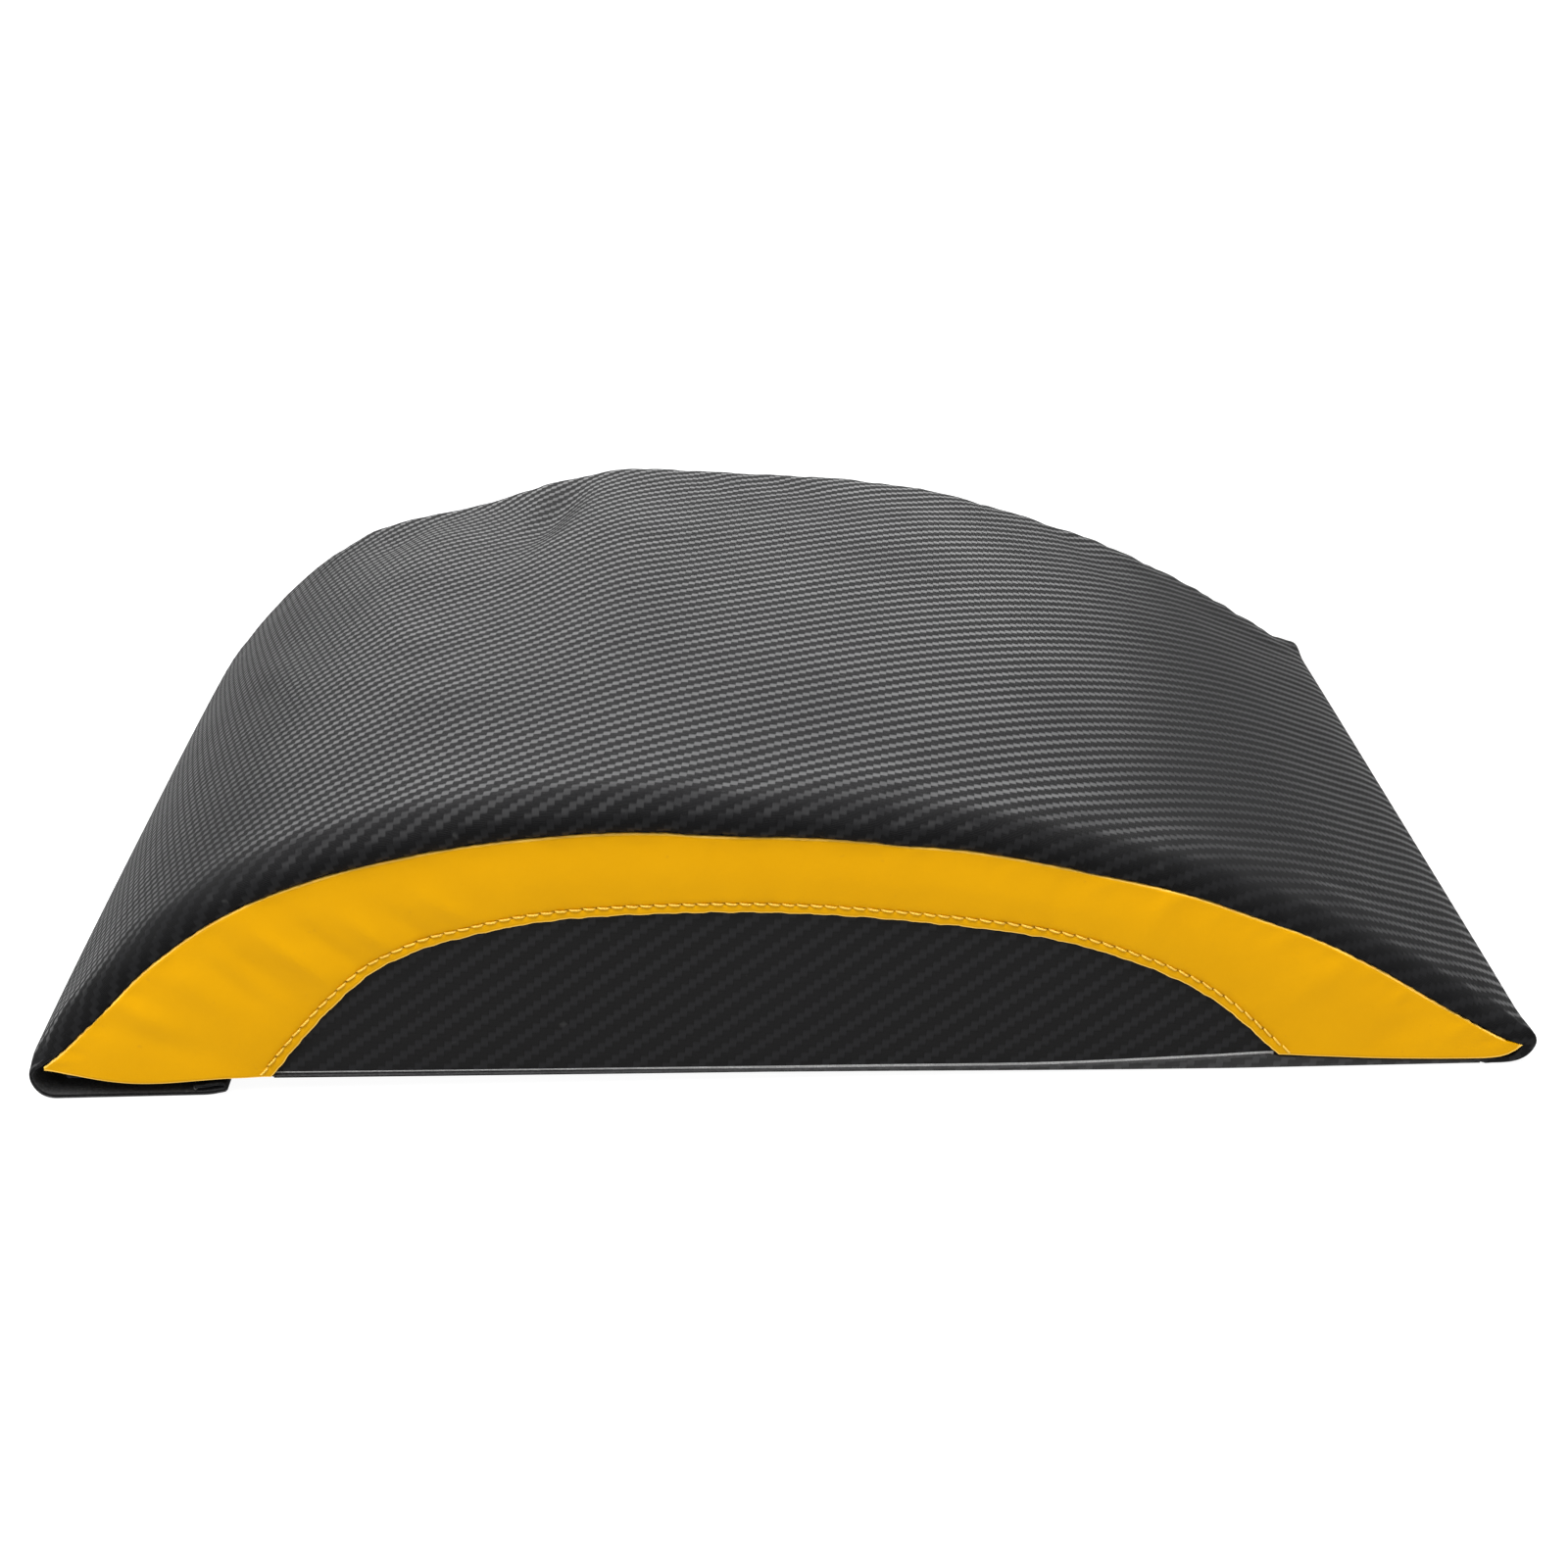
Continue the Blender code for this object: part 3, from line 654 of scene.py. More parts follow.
def belly(x):
    """Height of the bottom sheet's outer face above the floor, where it sags below the foam."""
    return np.maximum(under(x) - read(SAGS, (x - TAIL_X) / LENGTH), FLOOR_CLEAR)


def on_rim(x):
    """The line that the side pieces stand on: the bottom sheet's edge, or the underside at the tail."""
    high = np.where(x < TAIL_FOOT_X + FOOT_STEP, FOOT_LOW, rim(x) + GAP)
    return np.stack([x, under(x) + high], axis=-1)


def arch_line():
    """The band's inner edge, from its foot at the tail end to its foot at the nose end."""
    top = HEIGHT - ROLL_DROP - BAND_WIDTH
    knots = [(TAIL_FOOT_X + (NOSE_FOOT_X - TAIL_FOOT_X) * x, z * top) for x, z in ARCH_SHARES]
    ends = on_rim(np.array([TAIL_FOOT_X, NOSE_FOOT_X]))
    return eased(smooth(np.concatenate([ends[:1], knots, ends[1:]]), PATH_STEP), ARCH_EASING, 0)


def to_foot(point, step):
    """Where a line that runs down from a point, along a step, meets the foot of the side pieces."""
    high = point[1] - on_rim(point[:1])[0, 1] - STITCH_END
    return point - step * high / step[1]


def thread_line():
    """The topstitching, which follows the arch a little way outside it, from foot to foot."""
    line = ARCH + STITCH_INSET * outward(ARCH)
    first, last = to_foot(line[0], line[0] - line[4]), to_foot(line[-1], line[-1] - line[-5])
    return np.concatenate([[first], line, [last]])


ARCH = arch_line()
THREAD_LINE = thread_line()

STITCH = 0.0035
NICK = 0.00009
STATIONS_PER_STITCH = 3
END_STEP = 0.0022
TAIL_FAN_X = -0.158  # the seam's place across from the arch's foot at the tail
NOSE_FAN_X = 0.150  # and at the nose
EDGE_ROWS = (0.0, 0.00012, 0.0004, 0.0009, 0.0015, 0.0020, 0.0024, 0.0028, 0.0034, 0.0044)
SEAM_ROWS = (0.0034, 0.0022, 0.0015, 0.0011, 0.0008, 0.0005, 0.00028, 0.00012, 0.00003, 0.0)
ROWS_APART = 0.001  # the least room between the two
MIDDLE_ROWS = 12


def stitch_places(parts=1):
    """Evenly spaced points along the topstitching: its needle holes, or that many times as many."""
    length = running_lengths(THREAD_LINE)[-1]
    return spaced(THREAD_LINE, np.linspace(0, length, parts * round(length / STITCH) + 1))


def cut_even(points, step):
    """Evenly spaced points along a line, about a step apart."""
    length = running_lengths(points)[-1]
    return spaced(points, np.linspace(0, length, max(2, round(length / step)) + 1))


def band_ends(seam):
    """The band's lower edge from its tail tip to the arch and from there to its nose tip, and that tip."""
    flat_x = np.linspace(FLAP_END_X, ARCH[0, 0], 6)
    tip = seam[0] - (0.0, TAIL_TIP)
    over = smooth(np.concatenate([[tip, (TAPE_X, BAND_LOW)], on_rim(flat_x[:1])]), PATH_STEP)
    tail = np.concatenate([over, on_rim(flat_x[1:])])
    nose_point = np.array([NOSE_X - NOSE_TIP_INSET, NOSE_TIP_HIGH])
    angles = np.radians(np.linspace(-90.0, NOSE_CORNER_END, 10))
    turn = np.stack([NOSE_CORNER[0] * np.cos(angles), NOSE_CORNER[1] * np.sin(angles)], axis=1)
    corner = nose_point + turn - turn[-1]
    nose = np.concatenate([on_rim(np.linspace(ARCH[-1, 0], corner[0, 0], 40))[:-1], corner])
    return cut_even(tail, END_STEP)[:-1], cut_even(nose, END_STEP)[1:], nose_point


def band_edges(side):
    """Matching points of the band's lower edge and of the seam, and the normals of the lower edge."""
    seam = seam_line(side)
    tail_low, nose_low, nose_point = band_ends(seam)
    # Stations: the arch's follow the stitches
    marks = stitch_places(STATIONS_PER_STITCH)
    found = nearest(marks, THREAD_LINE[1:-1])
    lead = np.linspace(0, found[0], 4).astype(int)[:-1]
    rest = np.linspace(found[-1], len(ARCH) - 1, 4).astype(int)[1:]
    picks = np.unique(np.concatenate([lead, found, rest]))
    nicks = wave(running_lengths(ARCH), 21, (0.0075, NICK), (0.0034, NICK * 0.6))
    low_mid = (ARCH - outward(ARCH) * nicks[:, None])[picks]
    low = np.concatenate([tail_low, low_mid, nose_low])
    seam = np.concatenate([seam, [nose_point]])
    along = running_lengths(seam)
    fan_tail, fan_nose = (np.interp(x, seam[:, 0], along) for x in (TAIL_FAN_X, NOSE_FAN_X))
    lengths = running_lengths(low_mid)
    places = [
        fan_tail * np.arange(len(tail_low)) / len(tail_low),
        fan_tail + (fan_nose - fan_tail) * lengths / lengths[-1],
        fan_nose + (along[-1] - fan_nose) * np.arange(1, len(nose_low) + 1) / len(nose_low),
    ]
    normal = outward(low)
    for _ in range(8):
        normal = softened(normal)
    return low, spaced(seam, np.concatenate(places)), unit(normal)


def distance_to(points, line):
    """How far each point in a plane lies from a line."""
    best = np.full(points.shape[:-1], np.inf)
    for a, b in zip(line[:-1], line[1:]):
        step = b - a
        t = np.clip(((points - a) @ step) / (step @ step), 0, 1)
        best = np.minimum(best, np.linalg.norm(points - a - t[..., None] * step, axis=-1))
    return best


# Soft folds of the bands, placed by X and Z
BAND_FOLDS = (
    (-0.146, 0.030, 0.011, 0.0026, -44.0, 0.00035),
    (-0.137, 0.032, 0.011, 0.0024, -44.0, -0.00040),
    (-0.129, 0.034, 0.012, 0.0024, -42.0, -0.00045),
    (-0.121, 0.038, 0.012, 0.0024, -40.0, 0.00070),
    (-0.111, 0.040, 0.010, 0.0022, -40.0, -0.00055),
    (-0.101, 0.043, 0.009, 0.0024, -41.0, 0.00060),
    (-0.092, 0.046, 0.008, 0.0022, -38.0, -0.00040),
    (-0.082, 0.050, 0.008, 0.0024, -35.0, 0.00045),
    (-0.159, 0.022, 0.013, 0.0032, -34.0, 0.00050),
    (-0.150, 0.014, 0.014, 0.0035, -20.0, -0.00040),
    (-0.060, 0.062, 0.007, 0.0040, -74.0, 0.00030),
    (-0.020, 0.064, 0.007, 0.0045, -84.0, 0.00022),
    (0.030, 0.059, 0.007, 0.0045, 80.0, 0.00024),
    (0.070, 0.053, 0.007, 0.0040, 70.0, -0.00022),
    (0.095, 0.046, 0.008, 0.0040, 60.0, 0.00026),
    (0.135, 0.026, 0.010, 0.0035, 40.0, 0.00028),
    (0.158, 0.012, 0.012, 0.0035, 25.0, -0.00024),
)
BAND_FOLD_SHARE = 1.3
BAND_PUFF = 0.0007
PUFF_REACH = 0.006
BAND_FULL = 0.012  # from this width on the band has its full relief
SEAM_PULLS = ((0.0155, 0.00022), (0.0088, 0.00014), (0.0052, 0.00008))
SEAM_PULL_REACH = (0.0018, 0.0040)
ARCH_PULLS = ((STITCH * 2.1, 0.00008), (0.012, 0.00010))
ARCH_PULL_REACH = 0.004
GROOVE = 0.00024
GROOVE_WIDTH = 0.0007
PIT = 0.00030
PIT_WIDTH = 0.00036
TUCK = 0.00080  # the band's upper edge turns in to the seam
TUCK_REACH = 0.0007
EDGE_FALL = 0.00032  # the rounding of its lower edge
EDGE_REACH = 0.00028
PAINTED_EDGE_HIGHLIGHT = 0.00032  # width of the painted highlight along the band's rounded edges


def band_plane(low, high, normal):
    """The band's grid in the XZ plane, and how wide the band is at each station, up to its full width."""
    reach = np.linalg.norm(high - low, axis=1)
    fit = np.minimum(1.0, reach / (EDGE_ROWS[-1] + SEAM_ROWS[0] + ROWS_APART))
    rows = [low + normal * (inset * fit)[:, None] for inset in EDGE_ROWS]
    start = rows[-1]
    to_low = unit(start - high)
    stop = high + to_low * (SEAM_ROWS[0] * fit)[:, None]
    rows += [start + (stop - start) * (k / (MIDDLE_ROWS + 1)) for k in range(1, MIDDLE_ROWS + 1)]
    rows += [high + to_low * (inset * fit)[:, None] for inset in SEAM_ROWS]
    return np.stack(rows, axis=1), np.minimum(1.0, reach / BAND_FULL)[:, None]


def band_grid(side):
    """The band's outer face on one side, its flat coordinates, the masks of its painted shade and painted
    highlight, and its height.
    """
    low, high, normal = band_edges(side)
    plane, wide = band_plane(low, high, normal)
    lines = (ARCH[::4], THREAD_LINE[::4], seam_line(side)[::8], low)
    to_arch, to_thread, to_seam, to_edge = (distance_to(plane, line) for line in lines)
    offset = BAND_PUFF * wide * (1 - near(np.minimum(to_seam, to_arch), PUFF_REACH))
    tuck = np.clip(1 - to_seam / TUCK_REACH, 0, 1)
    offset -= TUCK * (1 - np.sqrt(1 - tuck * tuck)) * wide
    offset -= EDGE_FALL * near(to_edge, EDGE_REACH) * wide
    # Needle holes: pressed into the band, and given painted shade in its material
    holes = [np.linalg.norm(plane - place, axis=-1) for place in stitch_places()]
    pit = near(np.min(holes, axis=0), PIT_WIDTH)
    offset += humps(plane[..., 0], plane[..., 1], BAND_FOLDS) * BAND_FOLD_SHARE
    along = running_lengths(low)
    seed = 5 if side < 0 else 9
    pull = near(to_seam, SEAM_PULL_REACH[1]) * (1 - near(to_seam, SEAM_PULL_REACH[0]))
    offset += wave(along, seed, *SEAM_PULLS)[:, None] * pull
    offset += wave(along, seed + 10, *ARCH_PULLS)[:, None] * near(to_arch, ARCH_PULL_REACH)
    pressed = offset - GROOVE * near(to_thread, GROOVE_WIDTH) - PIT * pit
    grid = in_space(plane, side * (SEAM_Y + pressed))
    # Painted highlight along the band's lower edge and along its seam
    edge = near(np.minimum(to_edge, to_seam), PAINTED_EDGE_HIGHLIGHT)
    return grid, plane, np.stack([pit, edge]), offset


def band(side, name, shape):
    grid, plane, marks, _ = shape
    if side < 0:
        grid, plane, marks = grid[::-1], plane[::-1], marks[:, ::-1]
    made = sheet_object(name, grid, plane, (0.0, -side * COVER * 0.9, 0.0))
    # Painted shade of the needle holes and painted highlight of the edges, as point attributes
    for label, values in zip(("pit", "edge"), marks):
        layer = made.data.attributes.new(label, "FLOAT", "POINT")
        layer.data.foreach_set("value", np.tile(values.ravel(), 2).astype(np.float32))
    return made


PANEL_COLUMNS = 30
PANEL_STEP = 0.0030
PANEL_INSET = 0.0002  # from the nose, and behind its place
PANEL_LOW = 0.0004  # how far it stays below the seam
PANEL_LEAST = 0.0003
PANEL_BULGE = 0.0005
PANEL_SOFT = 0.02  # height over which it leaves its foot, and half length over which it bulges
PANEL_HALF = 0.11
PANEL_WAVES = ((0.061, 0.00012), (0.034, 0.00008))
FOLD_PALE = 0.00095  # height of the folded edge along its foot, which carries a painted highlight
FOLD_LEAST = 0.0001
FOLD_MARGIN = 0.001


def panel(side, name):
    """The black panel of one side, which fills it behind the band."""
    seam = seam_line(side)
    x = np.linspace(TAIL_X + BOTTOM_TAIL_INSET, REST_X - PANEL_INSET, round(LENGTH / PANEL_STEP))
    high = np.interp(x, seam[:, 0], seam[:, 1]) - PANEL_LOW
    low = np.minimum(under(x) + rim(x) - FOOT_LOW, high - PANEL_LEAST)
    pale = np.minimum(low + FOLD_PALE, high - FOLD_LEAST)
    share = np.linspace(0, 1, PANEL_COLUMNS + 1)
    z = np.concatenate([low[:, None], pale[:, None] + (high - pale)[:, None] * share[None]], axis=1)
    xx = np.broadcast_to(x[:, None], z.shape)
    plane = np.stack([xx, z], axis=-1)
    inside = np.clip((z - low[:, None]) / PANEL_SOFT, 0, 1)
    offset = PANEL_BULGE * np.sin(np.pi * inside / 2) * np.exp(-((xx / PANEL_HALF) ** 4))
    offset += wave(x, 31 + side, *PANEL_WAVES)[:, None] * inside
    grid = in_space(plane, side * (PANEL_Y + offset - PANEL_INSET))
    if side < 0:
        grid, plane = grid[::-1], plane[::-1]
    made = sheet_object(name, grid, plane, (0.0, -side * COVER * 0.8, 0.0))
    # The folded edge along the foot gets the pale edge material: a painted highlight
    for row, place in enumerate(grid[:-1, 0, 0]):
        if TAIL_FOOT_X - FOLD_MARGIN < place < NOSE_FOOT_X + FOLD_MARGIN:
            made.data.polygons[row * (grid.shape[1] - 1)].material_index = 2
    return made


BOTTOM_COLUMNS = 60
BOTTOM_STEP = 0.0030
BOTTOM_FINE_STEP = 0.0006
BOTTOM_FINE_MARGIN = 0.001
BOTTOM_WAVES = ((0.047, 0.00012), (0.023, 0.00007))
BOTTOM_CALM = (0.14, 0.02)  # where its waves end across, and how softly
CORNER_STEPS = 6
TRAY_INSET = 0.0006
TRAY_TAIL_INSET = 0.0014  # where the edge lies flat on the loop tape's side
TRAY_LIP = 0.0001
TRAY_GAP = 0.0006  # the dark gap under the band at the nose
TRAY_CORNER = 0.0008
TRAY_BEND = 0.004
TRAY_FACE = 0.00035  # height of the upright face above the rounding
RIM_EDGE = ((-0.0012, -0.0001), (-0.0004, 0.00005), (-0.00012, -0.00008), (0.0, -0.00025))
FLAT_EDGE = ((-0.0002, 0.0), (-0.0001, -0.0001), (-0.00005, -0.0002), (0.0, -0.0003))
GAP_COLUMNS = 3  # columns of the tray's grid that lie in the dark gap below the side pieces


def tray_places():
    """The X of the bottom sheet's rows, closer together round the foot of the band."""
    fine = (FLAP_END_X - BOTTOM_FINE_MARGIN, TAIL_FOOT_X + BOTTOM_FINE_MARGIN)
    marks = [(TAIL_X + BOTTOM_TAIL_INSET, fine[0], BOTTOM_STEP), (*fine, BOTTOM_FINE_STEP)]
    marks += [(fine[1], BOTTOM_NOSE_X, BOTTOM_STEP)]
    runs = [np.linspace(a, b, max(2, round((b - a) / step)) + 1)[:-1] for a, b, step in marks]
    return np.concatenate([*runs, [BOTTOM_NOSE_X]])


def tray_line(wide, high, edge):
    """The bottom sheet's outer face across, from edge to edge: Y and height above the belly."""
    face = min(TRAY_FACE, high / 2)
    half = [(wide + y, high + z) for y, z in edge]
    for angle in np.radians(np.linspace(0, 90, CORNER_STEPS + 1)):
        half.append((wide - TRAY_CORNER * (1 - math.cos(angle)), (high - face) * (1 - math.sin(angle))))
    half += [(y, 0.0) for y in np.linspace(wide - TRAY_CORNER - TRAY_BEND, 0, BOTTOM_COLUMNS // 2 + 1)]
    side = np.array(half)
    return np.concatenate([side, (side * (-1, 1))[-2::-1]])


def bottom_sheet():
    """The bottom sheet: a shallow tray whose long edges turn up to the sides."""
    x = tray_places()
    steps = [foot + step for foot in (FLAP_END_X, TAIL_FOOT_X) for step in (-FOOT_STEP, FOOT_STEP)]
    beside_tape = SEAM_Y - TRAY_TAIL_INSET
    wide = np.interp(x, steps, [FOAM_Y, beside_tape, beside_tape, SEAM_Y - TRAY_INSET])
    low = belly(x)
    nose_part = np.clip((x - NOSE_FOOT_X) / FOOT_STEP, 0, 1)
    high = under(x) + rim(x) + TRAY_LIP - TRAY_GAP * nose_part - low
    rows, flat = [], []
    for k, place in enumerate(x):
        line = tray_line(wide[k], high[k], RIM_EDGE if place > TAIL_FOOT_X else FLAT_EDGE)
        rows.append(np.stack([np.full(len(line), place), -line[:, 0], low[k] + line[:, 1]], axis=1))
        lengths = running_lengths(line)
        flat.append(np.stack([np.full(len(line), -place), lengths - lengths[len(line) // 2]], axis=1))
    grid, flat = np.array(rows), np.array(flat)
    calm = np.clip((BOTTOM_CALM[0] - np.abs(grid[..., 1])) / BOTTOM_CALM[1], 0, 1)
    grid[..., 2] += np.abs(wave(x, 41, *BOTTOM_WAVES))[:, None] * calm * 0.5
    grid, flat = grid[::-1], flat[::-1]
    made = sheet_object("bottom_sheet", grid, flat, -grid_normals(grid) * COVER * 0.85)
    columns = grid.shape[1] - 1
    for place in range((len(grid) - 1) * columns):
        if min(place % columns, columns - 1 - place % columns) < GAP_COLUMNS:
            made.data.polygons[place].material_index = 1
    return made


# Thread
RING = 8
STITCH_RINGS = 9
STITCH_FILL = 0.92
STITCH_SLANT = 0.00016
STITCH_OUT = -0.00002
STITCH_LIFT = 0.00020
THREAD_SEEN = 0.00052
PLIES = 3


def tube_faces(rings, sides):
    """The faces of a tube of rings of points, closed at its ends."""
    faces = []
    for q in range(0, (rings - 1) * sides, sides):
        for k in range(sides):
            after = (k + 1) % sides
            faces.append((q + k, q + after, q + sides + after, q + sides + k))
    last = (rings - 1) * sides
    return [*faces, tuple(range(sides - 1, -1, -1)), tuple(range(last, last + sides))]


def gather(parts):
    """One array of points and one list of faces from many small pieces."""
    faces, count = [], 0
    for points, part_faces in parts:
        faces += [tuple(count + k for k in face) for face in part_faces]
        count += len(points)
    return np.concatenate([points for points, _ in parts]), faces


def stitch(a, b, facing, slant):
    """One short twisted thread that dives at its ends, and its flat coordinates."""
    length = np.linalg.norm(b - a)
    ahead = (b - a) / length
    up = unit(facing - ahead * (facing @ ahead))
    beside = np.cross(ahead, up)
    t = np.arange(STITCH_RINGS)[:, None, None] / (STITCH_RINGS - 1)
    angle = 2 * math.pi * np.arange(RING)[None, :, None] / RING
    away = np.abs(2 * t - 1)
    high = STITCH_LIFT * (1 - away**4) - THREAD_SEEN * 1.1 * away**5
    middle = a + (b - a) * ((t - 0.5) * STITCH_FILL + 0.5) + up * high + beside * (1 - 2 * t) * slant
    size = THREAD_SEEN / 2 * (1 - 0.35 * away**6) * (1 + 0.05 * np.cos(PLIES * angle + 9.0 * t))
    points = middle + size * (np.cos(angle) * beside + np.sin(angle) * up)
    flat = np.broadcast_arrays(t * length, angle / (2 * math.pi) * THREAD_SEEN * 3)
    return points.reshape(-1, 3), np.concatenate(flat, axis=-1).reshape(-1, 2)


def band_stitches(side, name, shape):
    """The topstitching, laid on the band's own surface."""
    _, plane, _, rise = shape
    holes = stitch_places()
    found = nearest(holes, plane.reshape(-1, 2))
    places = in_space(holes, side * (SEAM_Y + rise.ravel()[found] + STITCH_OUT))
    facing = np.array([0.0, float(side), 0.0])
    made = [stitch(a, b, facing, side * STITCH_SLANT) for a, b in zip(places[:-1], places[1:])]
    points, faces = gather([(points, tube_faces(STITCH_RINGS, RING)) for points, _ in made])
    flat = np.concatenate([flat for _, flat in made])
    return make_mesh(name, points, faces, np.zeros(len(faces)), flat, sharp=False)


# Tapes
HOOK_PITCH = 0.0016
HOOK_STEM = 0.00016
HOOK_HIGH = 0.0007
HOOK_JOG = 0.00006
HOOK_BEND = ((0.0, 0.55), (0.00012, 0.9), (0.00034, 1.0), (0.00052, 0.78))  # how far over, share of height
LOOP_COUNT = 5200
LOOP_WIDE = (0.0004, 0.0010)
LOOP_DEEP = (0.00035, 0.00070)
LOOP_THICK = 0.0001
ROOT = 0.0001  # how deep hooks and loops are rooted
TAPE_BASE = 0.0006


def tube(path, radius, sides=3):
    """Points and faces of a thin tube along a short path."""
    path = np.asarray(path)
    ahead = unit(np.gradient(path, axis=0))
    beside = unit(np.cross(ahead, (0.31, 0.83, 0.46)))
    up = np.cross(ahead, beside)
    angles = (2 * math.pi * np.arange(sides) / sides)[None, :, None]
    ring = np.cos(angles) * beside[:, None] + np.sin(angles) * up[:, None]
    return (path[:, None] + radius * ring).reshape(-1, 3), tube_faces(len(path), sides)


def tape(name, base, up, pile):
    """A woven strip, whose height above the floor is base at each X, thick towards up, and its pile."""
    x = np.linspace(TAPE_X - TAPE_WIDTH / 2, TAPE_X + TAPE_WIDTH / 2, 12)
    y = np.linspace(-TAPE_Y, TAPE_Y, 120)
    xx, yy = np.meshgrid(x, y, indexing="ij")
    strip = [np.stack([xx, yy, base(xx) + lift], axis=-1) for lift in (up * TAPE_BASE, 0.0)]
    slab_points, slab_faces, slab_kinds = closed_solid(*strip)
    points, faces = gather([(slab_points, slab_faces), *pile])
    kinds = np.zeros(len(faces))
    kinds[: len(slab_kinds)] = slab_kinds
    return make_mesh(name, points, faces, kinds, points[:, :2], sharp=False)


def hook_tape():
    draw = np.random.default_rng(11)
    z = HOOK_BASE + TAPE_BASE
    pile = []
    for i in range(int(TAPE_WIDTH / HOOK_PITCH) - 1):
        for k in range(int(2 * TAPE_Y / HOOK_PITCH) - 1):
            x = TAPE_X - TAPE_WIDTH / 2 + (i + 1 + 0.5 * (k % 2)) * HOOK_PITCH * 0.94
            y = -TAPE_Y + (k + 1) * HOOK_PITCH
            lean = 1 if i % 2 else -1
            jog = draw.normal(0, HOOK_JOG, 2)
            path = [(x, y, z - ROOT)]
            for over, high in HOOK_BEND:
                path.append((x + jog[0], y + jog[1] + lean * over, z + HOOK_HIGH * high))
            pile.append(tube(path, HOOK_STEM / 2))
    return tape("hook_tape_strip", lambda x: np.full_like(x, HOOK_BASE), 1.0, pile)


def loop_tape():
    draw = np.random.default_rng(12)
    pile = []
    for _ in range(LOOP_COUNT):
        x = TAPE_X + draw.uniform(-0.49, 0.49) * TAPE_WIDTH
        y = draw.uniform(-0.995, 0.995) * TAPE_Y
        turn = draw.uniform(0, 2 * math.pi)
        wide = draw.uniform(*LOOP_WIDE)
        deep = draw.uniform(*LOOP_DEEP)
        t = np.linspace(0, math.pi, 5)
        z = under(x) - GAP - TAPE_BASE + ROOT - np.sin(t) * deep
        out = np.cos(t) * wide
        path = np.stack([x + math.cos(turn) * out, y + math.sin(turn) * out, z], axis=1)
        pile.append(tube(path, LOOP_THICK / 2))
    return tape("loop_tape_strip", lambda x: under(x) - GAP, -1.0, pile)


# Foam
FOAM_CLEAR = COVER + 0.0004
FOAM_START = 0.006  # distances along the sheet from the tail fold and from the nose
FOAM_END = 0.0035
FOAM_EDGE = (0.010, 0.012)  # its edge columns end, and the ones between them start
FOAM_LEAST = 0.0006


def foam():
    """The foam core, a rounded slab that fills the cover."""
    s = np.linspace(FOAM_START, CROWN_LENGTH - FOAM_END, 110)
    point, normal = at(s)
    start, width, high, sag, _ = (values[:, None] for values in roll(s))
    edge = np.linspace(-FOAM_Y, -FOAM_Y + FOAM_EDGE[0], 8)
    inner = np.linspace(-FOAM_Y + FOAM_EDGE[1], FOAM_Y - FOAM_EDGE[1], 46)
    s, y = np.meshgrid(s, np.concatenate([edge, inner, -edge[::-1]]), indexing="ij")
    out = np.clip((np.abs(y) - (SEAM_Y - width * np.cos(start))) / (ROLL_WIDTH - FOAM_CLEAR), 0, 0.995)
    depth = FOAM_CLEAR + sag * (y / FOAM_Y) ** 2 + high * (1 - np.sqrt(1 - out * out))
    flat = point[:, None] - normal[:, None] * (depth - np.minimum(relief(s, y), 0))[..., None]
    low = under(flat[..., 0]) + FOAM_CLEAR
    bottom = np.stack([flat[..., 0], y, low], axis=-1)
    top = np.stack([flat[..., 0], y, np.maximum(flat[..., 1], low + FOAM_LEAST)], axis=-1)
    points, faces, _ = closed_solid(top, bottom)
    return make_mesh("foam_block", points, faces, np.zeros(len(faces)), points[:, :2])


# Materials


